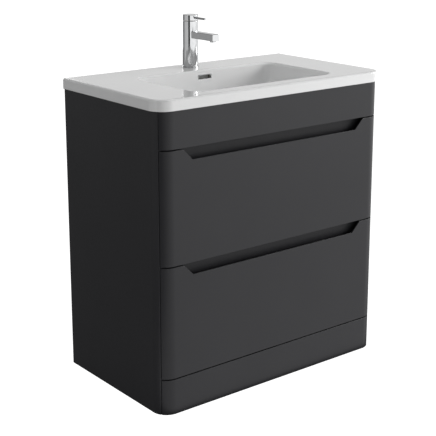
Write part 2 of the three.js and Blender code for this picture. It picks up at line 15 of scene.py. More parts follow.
import bmesh
import bpy
import numpy as np
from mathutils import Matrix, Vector


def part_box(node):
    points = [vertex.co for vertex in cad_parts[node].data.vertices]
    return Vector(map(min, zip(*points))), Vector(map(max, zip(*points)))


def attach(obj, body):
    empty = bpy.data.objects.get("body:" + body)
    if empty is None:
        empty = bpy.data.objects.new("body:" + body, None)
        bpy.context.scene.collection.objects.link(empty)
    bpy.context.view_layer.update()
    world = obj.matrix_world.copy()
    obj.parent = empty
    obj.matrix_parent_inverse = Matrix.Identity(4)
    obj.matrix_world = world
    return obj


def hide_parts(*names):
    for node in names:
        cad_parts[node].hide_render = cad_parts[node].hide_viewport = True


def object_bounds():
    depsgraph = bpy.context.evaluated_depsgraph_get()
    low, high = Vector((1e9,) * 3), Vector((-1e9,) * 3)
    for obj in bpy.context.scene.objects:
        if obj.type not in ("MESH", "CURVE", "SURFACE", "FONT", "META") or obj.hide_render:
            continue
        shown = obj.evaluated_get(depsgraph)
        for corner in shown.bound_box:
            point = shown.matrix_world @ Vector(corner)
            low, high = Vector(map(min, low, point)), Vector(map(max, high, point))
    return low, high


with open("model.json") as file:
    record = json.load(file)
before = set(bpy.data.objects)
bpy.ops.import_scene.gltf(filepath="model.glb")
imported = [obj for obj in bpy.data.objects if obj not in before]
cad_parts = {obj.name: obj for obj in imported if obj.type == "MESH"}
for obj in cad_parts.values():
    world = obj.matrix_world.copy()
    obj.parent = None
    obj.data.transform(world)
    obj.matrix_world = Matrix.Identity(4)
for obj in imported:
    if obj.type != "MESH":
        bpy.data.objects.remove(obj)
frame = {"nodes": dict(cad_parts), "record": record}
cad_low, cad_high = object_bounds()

log = logging.getLogger("vanity")

Array = np.ndarray
MM = 0.001
SMOOTH_ANGLE = 32.0  # degrees; sharper edges stay crisp
NOISE_RANGE = (0.3, 0.7)  # where most of a noise's values lie
SHOWN_WHITE = 1.2  # strength that shows as plain white


class Hand(Enum):
    """The two sides of the cabinet, with the sign of x on each."""

    LEFT = -1
    RIGHT = 1

    @property
    def label(self) -> str:
        """The word that node names use."""
        return self.name.lower()


class Level(Enum):
    """The two drawers."""

    UPPER = "upper"
    LOWER = "lower"


# ---------------------------------------------------------------- colours, nodes and materials


def linear(hex_colour: str) -> tuple[float, float, float, float]:
    """Turns an sRGB hex colour into linear RGBA.

    Args:
        hex_colour: six hex digits, with or without a leading #.

    Returns:
        The linear red, green and blue, and an alpha of 1.
    """
    digits = hex_colour.lstrip("#")
    channels = np.array([int(digits[i : i + 2], 16) for i in (0, 2, 4)]) / 255
    straight = np.where(channels <= 0.04045, channels / 12.92, ((channels + 0.055) / 1.055) ** 2.4)
    return (*map(float, straight), 1.0)


def add_node(tree: bpy.types.NodeTree, kind: str, settings: dict[str, object] | None = None,
             **inputs: object) -> bpy.types.Node:
    """Adds a node, sets its properties, and fills or links its inputs.

    Args:
        tree: the node tree that gets the node.
        kind: the node's type name.
        settings: property names and their values.
        inputs: input names with underscores for spaces, or i and a number; an output socket is
            linked, a value is set.

    Returns:
        The new node.
    """
    node = tree.nodes.new(kind)
    for key, value in (settings or {}).items():
        setattr(node, key, value)
    for key, value in inputs.items():
        numbered = key[0] == "i" and key[1:].isdigit()
        socket = node.inputs[int(key[1:]) if numbered else key.replace("_", " ")]
        if isinstance(value, bpy.types.NodeSocket):
            tree.links.new(value, socket)
        else:
            socket.default_value = value
    return node


@dataclass(frozen=True)
class Pattern:
    """An irregular pattern whose blobs are a given length across.

    The stretch says how many times longer the blobs are along each axis.
    """

    blob: float
    detail: float = 3.0
    stretch: tuple[float, float, float] = (1.0, 1.0, 1.0)

    def draw(self, tree: bpy.types.NodeTree, place: bpy.types.NodeSocket) -> bpy.types.NodeSocket:
        """Adds the pattern to a node tree.

        Args:
            tree: the node tree.
            place: the object coordinates that it reads.

        Returns:
            Its value, from 0 to 1.
        """
        scale = tuple(1 / (self.blob * longer) for longer in self.stretch)
        mapped = add_node(tree, "ShaderNodeMapping", Vector=place, Scale=scale).outputs[0]
        noise = add_node(tree, "ShaderNodeTexNoise", Vector=mapped, Scale=1.0, Detail=self.detail)
        return noise.outputs["Fac"]


@dataclass(frozen=True)
class Weave(Pattern):
    """Threads along all three axes: the mean of three patterns, each stretched along one axis."""

    along: float = 26.0

    def draw(self, tree: bpy.types.NodeTree, place: bpy.types.NodeSocket) -> bpy.types.NodeSocket:
        """Adds the weave to a node tree.

        Args:
            tree: the node tree.
            place: the object coordinates that it reads.

        Returns:
            Its value, from 0 to 1.
        """
        stretches = ((self.along, 1.0, 1.0), (1.0, self.along, 1.0), (1.0, 1.0, self.along))
        threads = [Pattern(self.blob, self.detail, stretch).draw(tree, place) for stretch in stretches]
        total = threads[0]
        for thread in threads[1:]:
            total = add_node(tree, "ShaderNodeMath", {"operation": "ADD"}, i0=total, i1=thread).outputs[0]
        return add_node(tree, "ShaderNodeMath", {"operation": "DIVIDE"}, i0=total, i1=3.0).outputs[0]


Relief = tuple[tuple[Pattern, float], ...]


@dataclass(frozen=True)
class Finish:
    """What every finish has: a name, a colour, the plain numbers of its shader and its patterns.

    The mottle mixes the colour with the second colour by at most the share, as the pattern goes
    through the mottle range. The marks vary the roughness from smoother to duller than its plain
    number. Each pattern of the relief has its height.
    """

    name: str
    colour: str
    roughness: float
    marks: Pattern
    metallic: float = 0.0
    ior: float = 1.5
    specular: float = 0.5
    coat: float = 0.0
    coat_roughness: float = 0.05
    second_colour: str = "#ffffff"
    mottle: Pattern | None = None
    mottle_range: tuple[float, float] = NOISE_RANGE
    share: float = 0.6
    smoother: float = 0.04
    duller: float = 0.04
    relief: Relief = ()

    def build(self) -> bpy.types.Material:
        """Builds the material.

        Returns:
            The material, with the mottle in its colour, the marks in its roughness and the relief as bumps.
        """
        material = bpy.data.materials.new(self.name)
        material.use_nodes = True
        tree = material.node_tree
        shader = tree.nodes["Principled BSDF"]
        plain = {
            "Base Color": linear(self.colour),
            "Roughness": self.roughness,
            "Metallic": self.metallic,
            "IOR": self.ior,
            "Specular IOR Level": self.specular,
            "Coat Weight": self.coat,
            "Coat Roughness": self.coat_roughness,
        }
        for socket, value in plain.items():
            shader.inputs[socket].default_value = value
        place = add_node(tree, "ShaderNodeTexCoord").outputs["Object"]
        wanted = (self.marks, self.mottle, *(pattern for pattern, _ in self.relief))
        drawn = {pattern: pattern.draw(tree, place) for pattern in wanted if pattern is not None}
        self.vary(tree, shader, drawn)
        return material

    def vary(self, tree: bpy.types.NodeTree, shader: bpy.types.Node,
             drawn: dict[Pattern, bpy.types.NodeSocket]) -> None:
        """Links the patterns to the shader's colour, roughness and normal.

        Args:
            tree: the node tree.
            shader: the surface shader.
            drawn: each pattern's value.
        """
        if self.mottle is not None:
            low, high = self.mottle_range
            mix = add_node(tree, "ShaderNodeMapRange", Value=drawn[self.mottle], From_Min=low, From_Max=high,
                           To_Min=0.0, To_Max=self.share).outputs["Result"]
            mixed = add_node(tree, "ShaderNodeMix", {"data_type": "RGBA"}, Factor=mix,
                             i6=linear(self.colour), i7=linear(self.second_colour))
            tree.links.new(mixed.outputs[2], shader.inputs["Base Color"])
        low, high = NOISE_RANGE
        dulled = add_node(tree, "ShaderNodeMapRange", Value=drawn[self.marks], From_Min=low, From_Max=high,
                          To_Min=self.roughness - self.smoother, To_Max=self.roughness + self.duller)
        tree.links.new(dulled.outputs["Result"], shader.inputs["Roughness"])
        normal = None
        for pattern, height in self.relief:
            bump = add_node(tree, "ShaderNodeBump", Height=drawn[pattern], Distance=height, Strength=1.0)
            if normal is not None:
                tree.links.new(normal, bump.inputs["Normal"])
            normal = bump.outputs["Normal"]
            tree.links.new(normal, shader.inputs["Normal"])


@dataclass(frozen=True)
class MattLacquer(Finish):
    """Polyurethane lacquer sprayed on fibreboard: dark and matt, with faint clouds and a fine orange peel."""

    name: str = "matt_anthracite_lacquer"
    colour: str = "#27272a"
    roughness: float = 0.42
    ior: float = 1.48
    specular: float = 0.42
    second_colour: str = "#2c2c2f"
    mottle: Pattern = Pattern(140 * MM, detail=2.0)
    share: float = 0.35
    marks: Pattern = Pattern(7 * MM, detail=4.0)
    smoother: float = 0.03
    duller: float = 0.05
    relief: Relief = ((mottle, 0.05 * MM), (Pattern(1.6 * MM, detail=2.0), 0.006 * MM))


@dataclass(frozen=True)
class AnthraciteFoil(Finish):
    """The fronts' lacquer on the rails behind the finger slots, darker and with a weaker sheen as painted
    shade of the recess behind each slot.

    It is also a little duller, with a fine grain that runs along the rail.
    """

    name: str = "anthracite_wrapping_foil"
    # colour and specular below are lower than the fronts' lacquer: painted shade of the finger-slot recess
    colour: str = "#232326"
    roughness: float = 0.46
    ior: float = 1.48
    specular: float = 0.31
    second_colour: str = "#28282a"
    mottle: Pattern = Pattern(60 * MM, detail=2.0)
    marks: Pattern = Pattern(0.9 * MM, stretch=(8.0, 1.0, 1.0))
    duller: float = 0.06
    relief: Relief = ((marks, 0.01 * MM),)


@dataclass(frozen=True)
class SmokedPolyurethane(Finish):
    """Soft smoke-grey polyurethane, cast as small self-adhesive domes: a slightly uneven, dusty skin."""

    name: str = "smoked_polyurethane"
    colour: str = "#2a2a2c"
    roughness: float = 0.35
    ior: float = 1.49
    second_colour: str = "#353537"
    mottle: Pattern = Pattern(0.9 * MM)
    share: float = 0.5
    marks: Pattern = mottle
    smoother: float = 0.05
    duller: float = 0.1
    relief: Relief = ((mottle, 0.01 * MM),)


@dataclass(frozen=True)
class GlazedCeramic(Finish):
    """Vitreous china under a thick white glaze: glossy, with faint clouds where the glaze pools.

    Its surface is very slightly wavy and has pinholes too shallow to see one by one.
    """

    name: str = "white_glazed_ceramic"
    colour: str = "#f2f2f2"
    roughness: float = 0.15
    coat: float = 0.5
    coat_roughness: float = 0.03
    second_colour: str = "#ebecec"
    mottle: Pattern = Pattern(90 * MM)
    share: float = 0.5
    marks: Pattern = mottle
    smoother: float = 0.0
    duller: float = 0.05
    relief: Relief = ((Pattern(45 * MM, detail=1.0), 0.03 * MM), (Pattern(1.1 * MM, detail=1.0), 0.0008 * MM))


@dataclass(frozen=True)
class PolishedChrome(Finish):
    """Chrome plate over polished brass: a faintly wavy mirror with wiping marks finer than a hair."""

    name: str = "polished_chrome"
    colour: str = "#d2d3d4"
    roughness: float = 0.045
    metallic: float = 1.0
    second_colour: str = "#c6c7c8"
    mottle: Pattern = Pattern(9 * MM, detail=1.0)
    marks: Pattern = Pattern(0.8 * MM, detail=4.0, stretch=(1.0, 1.0, 12.0))
    smoother: float = 0.01
    duller: float = 0.035
    relief: Relief = ((mottle, 0.004 * MM), (marks, 0.0005 * MM))


@dataclass(frozen=True)
class ZincPlatedSteel(Finish):
    """Cold-rolled strip with bright zinc plate: rolling lines along it and blue-yellow clouds."""

    name: str = "zinc_plated_steel"
    colour: str = "#b4b8bb"
    roughness: float = 0.3
    metallic: float = 1.0
    second_colour: str = "#a9a796"
    mottle: Pattern = Pattern(18 * MM)
    share: float = 0.7
    marks: Pattern = Pattern(0.5 * MM, detail=4.0, stretch=(1.0, 60.0, 1.0))
    smoother: float = 0.08
    duller: float = 0.14
    relief: Relief = ((marks, 0.004 * MM),)


@dataclass(frozen=True)
class MouldedPolypropylene(Finish):
    """Injection-moulded white polypropylene: waxy, with faint flow marks and a spark-eroded grain."""

    name: str = "white_polypropylene"
    colour: str = "#e3e4e2"
    roughness: float = 0.36
    ior: float = 1.49
    second_colour: str = "#d6d7d3"
    mottle: Pattern = Pattern(22 * MM, detail=2.0, stretch=(1.0, 1.0, 2.5))
    marks: Pattern = Pattern(0.7 * MM)
    smoother: float = 0.05
    duller: float = 0.09
    relief: Relief = ((marks, 0.012 * MM),)

    def build(self) -> bpy.types.Material:
        """Builds the material.

        Returns:
            The material, which also lets light about a millimetre in.
        """
        material = super().build()
        shader = material.node_tree.nodes["Principled BSDF"]
        shader.inputs["Subsurface Weight"].default_value = 0.05
        shader.inputs["Subsurface Radius"].default_value = (1.2 * MM, 1.0 * MM, 0.8 * MM)
        return material


@dataclass(frozen=True)
class TurnedBrass(Finish):
    """Free-cutting brass straight from the lathe, with fine tool lines round its axis and dull patches."""

    name: str = "turned_brass"
    colour: str = "#b9954c"
    roughness: float = 0.28
    metallic: float = 1.0
    second_colour: str = "#8f7440"
    mottle: Pattern = Pattern(6 * MM)
    marks: Pattern = Pattern(0.35 * MM, detail=2.0, stretch=(40.0, 40.0, 1.0))
    smoother: float = 0.06
    duller: float = 0.16
    relief: Relief = ((marks, 0.006 * MM),)


@dataclass(frozen=True)
class TextileMelamine(Finish):
    """Melamine paper on particle board, printed and pressed with a linen weave.

    The threads are drawn 1.4 mm apart, coarser than real ones, so that they show.
    """

    name: str = "linen_melamine"
    colour: str = "#7b7974"
    roughness: float = 0.5
    second_colour: str = "#9c9a95"
    mottle: Pattern = Weave(1.4 * MM, detail=2.0)
    mottle_range: tuple[float, float] = (0.4, 0.6)
    share: float = 1.0
    marks: Pattern = mottle
    smoother: float = 0.06
    duller: float = 0.06
    relief: Relief = ((mottle, 0.06 * MM),)


@dataclass(frozen=True)
class PaleFloor(Finish):
    """Plain studio paper: it shows white, and throws back only a little of the light that falls on it."""

    name: str = "studio_paper"
    colour: str = "#505050"
    roughness: float = 0.9
    marks: Pattern = Pattern(4 * MM, detail=2.0)
    glow: float = 0.09

    def build(self) -> bpy.types.Material:
        """Builds the material.

        Returns:
            The material, which is plain white to the camera and glows faintly on everything else.
        """
        material = super().build()
        tree = material.node_tree
        shader = tree.nodes["Principled BSDF"]
        shader.inputs["Emission Color"].default_value = linear("#ffffff")
        shader.inputs["Emission Strength"].default_value = self.glow
        seen = add_node(tree, "ShaderNodeLightPath").outputs["Is Camera Ray"]
        white = add_node(tree, "ShaderNodeEmission", Color=linear("#ffffff"), Strength=SHOWN_WHITE)
        mixed = add_node(tree, "ShaderNodeMixShader", i0=seen, i1=shader.outputs[0], i2=white.outputs[0])
        tree.links.new(mixed.outputs[0], tree.nodes["Material Output"].inputs["Surface"])
        return material


@dataclass(frozen=True)
class BlackCloth(Finish):
    """Black velvet on the studio's flag."""

    name: str = "black_velvet"
    colour: str = "#050505"
    roughness: float = 0.95
    marks: Pattern = Pattern(2 * MM, detail=2.0)


class Slot(Enum):
    """The record's material slots and the finish that dresses each."""

    LACQUER = ("lacquer", MattLacquer())
    DRAWER_BOARD = ("drawer_board", TextileMelamine())
    CERAMIC = ("ceramic", GlazedCeramic())
    CHROME = ("chrome", PolishedChrome())
    ZINC_STEEL = ("zinc_steel", ZincPlatedSteel())
    WHITE_PLASTIC = ("white_plastic", MouldedPolypropylene())
    BRASS = ("brass", TurnedBrass())


class Workshop:
    """Holds one material per slot and turns finished surfaces into dressed, riding pieces."""

    def __init__(self) -> None:
        """Builds every slot's material once."""
        self.materials = {slot: slot.value[1].build() for slot in Slot}
        # the rails' lacquer, made darker as painted shade of the finger-slot recesses
        self.foil = AnthraciteFoil().build()
        self.bumper_skin = SmokedPolyurethane().build()
        bodies = frame["record"]["behaviour"]["bodies"]
        self.owner = {node: body for body, nodes in bodies.items() for node in nodes}

    def dress(self, piece: bpy.types.Object, slot: Slot, stands_for: Sequence[str] = (),
              body: str | None = None, material: bpy.types.Material | None = None) -> bpy.types.Object:
        """Gives a piece its material and its body, and hides the CAD nodes that it stands for.

        Args:
            piece: the finished object.
            slot: the slot whose finish it wears.
            stands_for: CAD nodes that it replaces; their body is its body.
            body: the body it rides on where it replaces nothing.
            material: another material to wear in place of the slot's own.

        Returns:
            The same object.
        """
        piece.data.materials.clear()
        piece.data.materials.append(material or self.materials[slot])
        if stands_for:
            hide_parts(*stands_for)
        home = body or self.owner[stands_for[0]]
        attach(piece, home)
        log.info("%s rides on %s", piece.name, home)
        return piece

    def ease_node(self, name: str, slot: Slot, radius: float) -> None:
        """Keeps a CAD node as it is, with eased edges and its slot's finish.

        Args:
            name: the node.
            slot: the slot whose finish it wears.
            radius: the radius of its eased edges.
        """
        node = frame["nodes"][name]
        for place in node.material_slots:
            place.link = "OBJECT"
            place.material = self.materials[slot]
        weld = node.modifiers.new("merge_corners", "WELD")
        weld.merge_threshold = 0.01 * MM
        add_bevel(node, radius, segments=2)
        log.info("%s keeps its CAD shape", name)


# ---------------------------------------------------------------- surfaces


def grid_faces(rows: int, columns: int, wrap_rows: bool, wrap_columns: bool) -> Array:
    """Quads over a grid of points numbered row by row.

    Args:
        rows: number of rows.
        columns: number of points in a row.
        wrap_rows: whether the last row meets the first.
        wrap_columns: whether each row is a closed loop.

    Returns:
        One row of four point numbers per quad.
    """
    row = np.arange(rows if wrap_rows else rows - 1)[:, None]
    column = np.arange(columns if wrap_columns else columns - 1)[None, :]
    below, above = row * columns, (row + 1) % rows * columns
    after = (column + 1) % columns
    corners = (below + column, below + after, above + after, above + column)
    return np.stack([c + np.zeros_like(row + column) for c in corners], axis=-1).reshape(-1, 4)


def add_to_scene(name: str, data: bpy.types.ID) -> bpy.types.Object:
    """Makes an object of a mesh, light or camera, and links it to the scene."""
    made = bpy.data.objects.new(name, data)
    bpy.context.scene.collection.objects.link(made)
    return made


def make_object(name: str, points: Array, faces: Sequence[Sequence[int]],
                smooth_angle: float = SMOOTH_ANGLE) -> bpy.types.Object:
    """Makes a closed mesh object: doubles merged, no slivers, faces outwards, smooth within an angle.

    Args:
        name: the object's name.
        points: n rows of x, y and z.
        faces: point numbers of each face.
        smooth_angle: edges sharper than this many degrees stay crisp.

    Returns:
        The object, linked to the scene.
    """
    mesh = bpy.data.meshes.new(name)
    mesh.from_pydata(np.asarray(points, float).tolist(), [], [list(map(int, face)) for face in faces])
    shape = bmesh.new()
    shape.from_mesh(mesh)
    bmesh.ops.remove_doubles(shape, verts=shape.verts, dist=0.002 * MM)
    bmesh.ops.dissolve_degenerate(shape, edges=shape.edges, dist=0.001 * MM)
    bmesh.ops.recalc_face_normals(shape, faces=shape.faces)
    shape.to_mesh(mesh)
    shape.free()
    mesh.polygons.foreach_set("use_smooth", np.ones(len(mesh.polygons), bool))
    mesh.set_sharp_from_angle(angle=math.radians(smooth_angle))
    return add_to_scene(name, mesh)


def skin(name: str, rings: Array, capped: bool = True, wrap: bool = False,
         smooth_angle: float = SMOOTH_ANGLE) -> bpy.types.Object:
    """A surface over a stack of closed rings.

    Args:
        name: the object's name.
        rings: array of ring, point and coordinate.
        capped: whether the first and last ring are filled.
        wrap: whether the last ring joins the first instead.
        smooth_angle: as in make_object.

    Returns:
        The object.
    """
    count, around = rings.shape[:2]
    faces = grid_faces(count, around, wrap, True).tolist()
    if capped and not wrap:
        faces += [list(range(around)), list(range((count - 1) * around, count * around))]
    return make_object(name, rings.reshape(-1, 3), faces, smooth_angle)


def hold_flats(profile: Array, margin: float = 0.4 * MM) -> Array:
    """Adds a point just inside each end of every long straight of a profile, so that flats shade flat.

    Args:
        profile: rows of two coordinates.
        margin: distance of the added points from the ends.

    Returns:
        The profile with the added rows.
    """
    profile = np.asarray(profile, float)
    rows = [profile[:1]]
    for start, stop in zip(profile[:-1], profile[1:]):
        length = np.linalg.norm(stop - start)
        if length > 4 * margin:
            step = (stop - start) * margin / length
            rows.append(np.array([start + step, stop - step]))
        rows.append(stop[None])
    return np.vstack(rows)


def turned(name: str, profile: Array, centre: Sequence[float], around: int = 96, closed: bool = False,
           smooth_angle: float = SMOOTH_ANGLE) -> bpy.types.Object:
    """A profile of radius and height carried round a vertical axis.

    Args:
        name: the object's name.
        profile: rows of radius and height.
        centre: x and y of the axis.
        around: number of points in the circle.
        closed: whether the profile closes on itself; otherwise it starts and ends on the axis.
        smooth_angle: as in make_object.

    Returns:
        The object.
    """
    angle = np.linspace(0, 2 * np.pi, around, endpoint=False)
    radius, height = hold_flats(profile).T
    across = centre[0] + radius[:, None] * np.cos(angle)
    along = centre[1] + radius[:, None] * np.sin(angle)
    rings = np.stack([across, along, np.broadcast_to(height[:, None], across.shape)], axis=-1)
    return skin(name, rings, capped=False, wrap=closed, smooth_angle=smooth_angle)


def fillet(centre: tuple[float, float], radius: float, start: float, stop: float, count: int = 7) -> Array:
    """Points on an arc in a profile: centre plus radius times the cosine and sine of each angle.

    Args:
        centre: the arc's middle, as radius and height.
        radius: the arc's radius.
        start: first angle in degrees.
        stop: last angle in degrees.
        count: number of points.

    Returns:
        count rows of two numbers.
    """
    angle = np.radians(np.linspace(start, stop, count))
    return np.stack([centre[0] + radius * np.cos(angle), centre[1] + radius * np.sin(angle)], axis=-1)


def rounded_outline(low: Sequence[float], high: Sequence[float], radii: Sequence[float],
                    per_corner: int = 12, per_side: int = 16) -> Array:
    """A rectangle with round corners, as the same number of points whatever its size.

    Each corner is a quarter circle. Between corners the points are evenly spaced, with one at 2 % of
    the side from each corner, so that the flats shade flat.

    Args:
        low: lowest first and second coordinate.
        high: highest first and second coordinate.
        radii: corner radii at low-low, high-low, high-high and low-high.
        per_corner: points in a corner.
        per_side: points between two corners, at least two.

    Returns:
        Rows of two coordinates, counter-clockwise.
    """
    r = np.asarray(radii, float)
    middles = np.array([
        [low[0] + r[0], low[1] + r[0]],
        [high[0] - r[1], low[1] + r[1]],
        [high[0] - r[2], high[1] - r[2]],
        [low[0] + r[3], high[1] - r[3]],
    ])
    angle = np.radians(np.array([180, 270, 0, 90])[:, None] + np.linspace(0, 90, per_corner))
    arcs = middles[:, None] + r[:, None, None] * np.stack([np.cos(angle), np.sin(angle)], axis=-1)
    share = np.concatenate([[0.02], np.linspace(0, 1, per_side)[1:-1], [0.98]])[:, None]
    sides = arcs[:, -1:] * (1 - share) + np.roll(arcs[:, :1], -1, axis=0) * share
    return np.concatenate([arcs, sides], axis=1).reshape(-1, 2)


def lift(outline: Array, height: float | Array) -> Array:
    """Adds a height to a flat outline in x and y."""
    return np.column_stack([outline, np.broadcast_to(height, len(outline))])


def pillow_block(name: str, low: Sequence[float], high: Sequence[float], radius: float, corner: float,
                 steps: int = 4) -> bpy.types.Object:
    """A block along Z whose upright corners and whose end edges are round.

    Its rings are the rounded rectangle drawn in by radius times one minus the cosine of an angle,
    at heights that follow the sine of it.

    Args:
        name: the object's name.
        low: lowest corner.
        high: highest corner.
        radius: radius of the end edges.
        corner: radius of the upright corners.
        steps: number of steps in an edge's quarter turn.

    Returns:
        The object.
    """
    quarter = np.linspace(0, np.pi / 2, steps + 1)
    inset = radius * (1 - np.sin(quarter))
    rise = radius * (1 - np.cos(quarter))
    insets = np.concatenate([inset, inset[::-1]])
    heights = np.concatenate([low[2] + rise, high[2] - rise[::-1]])
    rings = []
    for i, z in zip(insets, heights):
        corners = [max(corner - i, 0.05 * MM)] * 4
        near, far = (low[0] + i, low[1] + i), (high[0] - i, high[1] - i)
        rings.append(lift(rounded_outline(near, far, corners, per_corner=5, per_side=2), z))
    return skin(name, np.array(rings))


def add_bevel(piece: bpy.types.Object, radius: float, segments: int = 3, angle: float = 28.0) -> None:
    """Eases a piece's sharp edges.

    Args:
        piece: the object.
        radius: radius of the eased edges.
        segments: number of faces across an eased edge.
        angle: edges sharper than this many degrees are eased.
    """
    bevel = piece.modifiers.new("eased_edges", "BEVEL")
    bevel.limit_method = "ANGLE"
    bevel.angle_limit = math.radians(angle)
    bevel.width = radius
    bevel.segments = segments
    bevel.harden_normals = True
    bevel.use_clamp_overlap = True


def cut_away(piece: bpy.types.Object, cutter: bpy.types.Object) -> None:
    """Cuts a closed cutter out of a piece for good, and removes the cutter.

    Args:
        piece: the object that is cut.
        cutter: the object whose volume is taken away.
    """
    boolean = piece.modifiers.new("cut", "BOOLEAN")
    boolean.operation = "DIFFERENCE"
    boolean.solver = "EXACT"
    boolean.object = cutter
    graph = bpy.context.evaluated_depsgraph_get()
    graph.update()
    mesh = bpy.data.meshes.new_from_object(piece.evaluated_get(graph), depsgraph=graph)
    piece.modifiers.clear()
    piece.data = mesh
    bpy.data.objects.remove(cutter)
    mesh.set_sharp_from_angle(angle=math.radians(SMOOTH_ANGLE))


def merge(name: str, parts: Sequence[bpy.types.Object]) -> bpy.types.Object:
    """Joins several meshes into one object and removes the originals.

    Args:
        name: the new object's name.
        parts: the objects that are joined.

    Returns:
        The new object.
    """
    shape = bmesh.new()
    for part in parts:
        shape.from_mesh(part.data)
        bpy.data.objects.remove(part)
    mesh = bpy.data.meshes.new(name)
    shape.to_mesh(mesh)
    shape.free()
    mesh.set_sharp_from_angle(angle=math.radians(SMOOTH_ANGLE))
    return add_to_scene(name, mesh)


def tilt_about_x(points: Array, pivot: Sequence[float], angle: float) -> Array:
    """Turns points about a line along X, by the right-hand rule.

    Args:
        points: rows of x, y and z.
        pivot: a point on the line.
        angle: the turn in radians.

    Returns:
        The turned points.
    """
    cosine, sine = math.cos(angle), math.sin(angle)
    turn = np.array([[1, 0, 0], [0, cosine, -sine], [0, sine, cosine]])
    return (points - np.array(pivot)) @ turn.T + np.array(pivot)


def reshape(piece: bpy.types.Object, points: Array) -> None:
    """Writes new point positions into a piece's mesh."""
    piece.data.vertices.foreach_set("co", np.asarray(points, np.float32).ravel())
    piece.data.update()


def points_of(piece: bpy.types.Object) -> Array:
    """Returns a piece's point positions, as rows of x, y and z."""
    flat = np.zeros(3 * len(piece.data.vertices), np.float32)
    piece.data.vertices.foreach_get("co", flat)
    return flat.reshape(-1, 3).astype(float)


# ---------------------------------------------------------------- cabinet


@dataclass
class CabinetPlan:
    """The cabinet's plan: a box whose two front corners are round."""

    corner_radius: float = 45 * MM
    arc_steps: int = 14
    front_y: float = field(init=False)
    board_back_y: float = field(init=False)
    half_width: float = field(init=False)

    def __post_init__(self) -> None:
        """Reads the front plane, the boards' back and the width from the frame."""
        low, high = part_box("plinth_front")
        self.front_y, self.board_back_y = low.y, high.y
        self.half_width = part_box("side_panel_right")[1].x

    @property
    def arc_x(self) -> float:
        """Distance of the corner arcs' centres from the middle plane."""
        return self.half_width - self.corner_radius

    @property
    def arc_y(self) -> float:
        """Y of the corner arcs' centres."""
        return self.front_y + self.corner_radius

    def face_y(self, x: Array) -> Array:
        """Y of the front surface: flat in the middle, a circle of the corner radius at each end."""
        beyond = np.clip(np.abs(x) - self.arc_x, 0, self.corner_radius)
        return self.arc_y - np.sqrt(self.corner_radius**2 - beyond**2)

    def front_columns(self) -> Array:
        """X of the columns from the middle to the seam: close together on the arc."""
        thickness = self.board_back_y - self.front_y
        seam_angle = math.asin((self.corner_radius - thickness) / self.corner_radius)
        angle = np.linspace(np.pi / 2, seam_angle, self.arc_steps)
        return self.arc_x + self.corner_radius * np.cos(angle)


@dataclass
class FingerSlot:
    """The notch in a drawer front's top edge, with 45-degree ends and a scooped back."""

    half_width: float = 296 * MM
    depth: float = 30.5 * MM
    land: float = 4 * MM
    scoop: float = 14 * MM

    def notch(self, x: Array, top: float, extra: float) -> Array:
        """Height of the edge at each x: the floor, then a 45-degree rise to the top.

        Args:
            x: places across the front.
            top: height of the front's top edge.
            extra: how much lower and wider the notch is, 0 at the face and the scoop at the back.

        Returns:
            The heights.
        """
        start = self.half_width + (math.sqrt(2) - 1) * extra
        rise = np.clip(np.abs(x) - start, 0, None)
        return np.minimum(top, top - self.depth - extra + rise)

    def breaks(self) -> list[float]:
        """X of the notch's corners at the face and at the back."""
        front = [self.half_width, self.half_width + self.depth]
        start = self.half_width + (math.sqrt(2) - 1) * self.scoop
        return front + [start, start + self.depth + self.scoop]

    def land_back(self, x: Array, face_y: Array, back_y: float) -> Array:
        """Where the flat land ends: its depth behind the face, and beside the notch at the board's back.

        Args:
            x: places across the front.
            face_y: y of the face at each place.
            back_y: y of the board's back.

        Returns:
            Y at each place.
        """
        inner = self.half_width + self.depth
        outer = self.breaks()[-1]
        share = np.clip((np.abs(x) - inner) / (outer - inner), 0, 1)
        land = np.minimum(face_y + self.land, back_y)
        return land + (back_y - land) * share


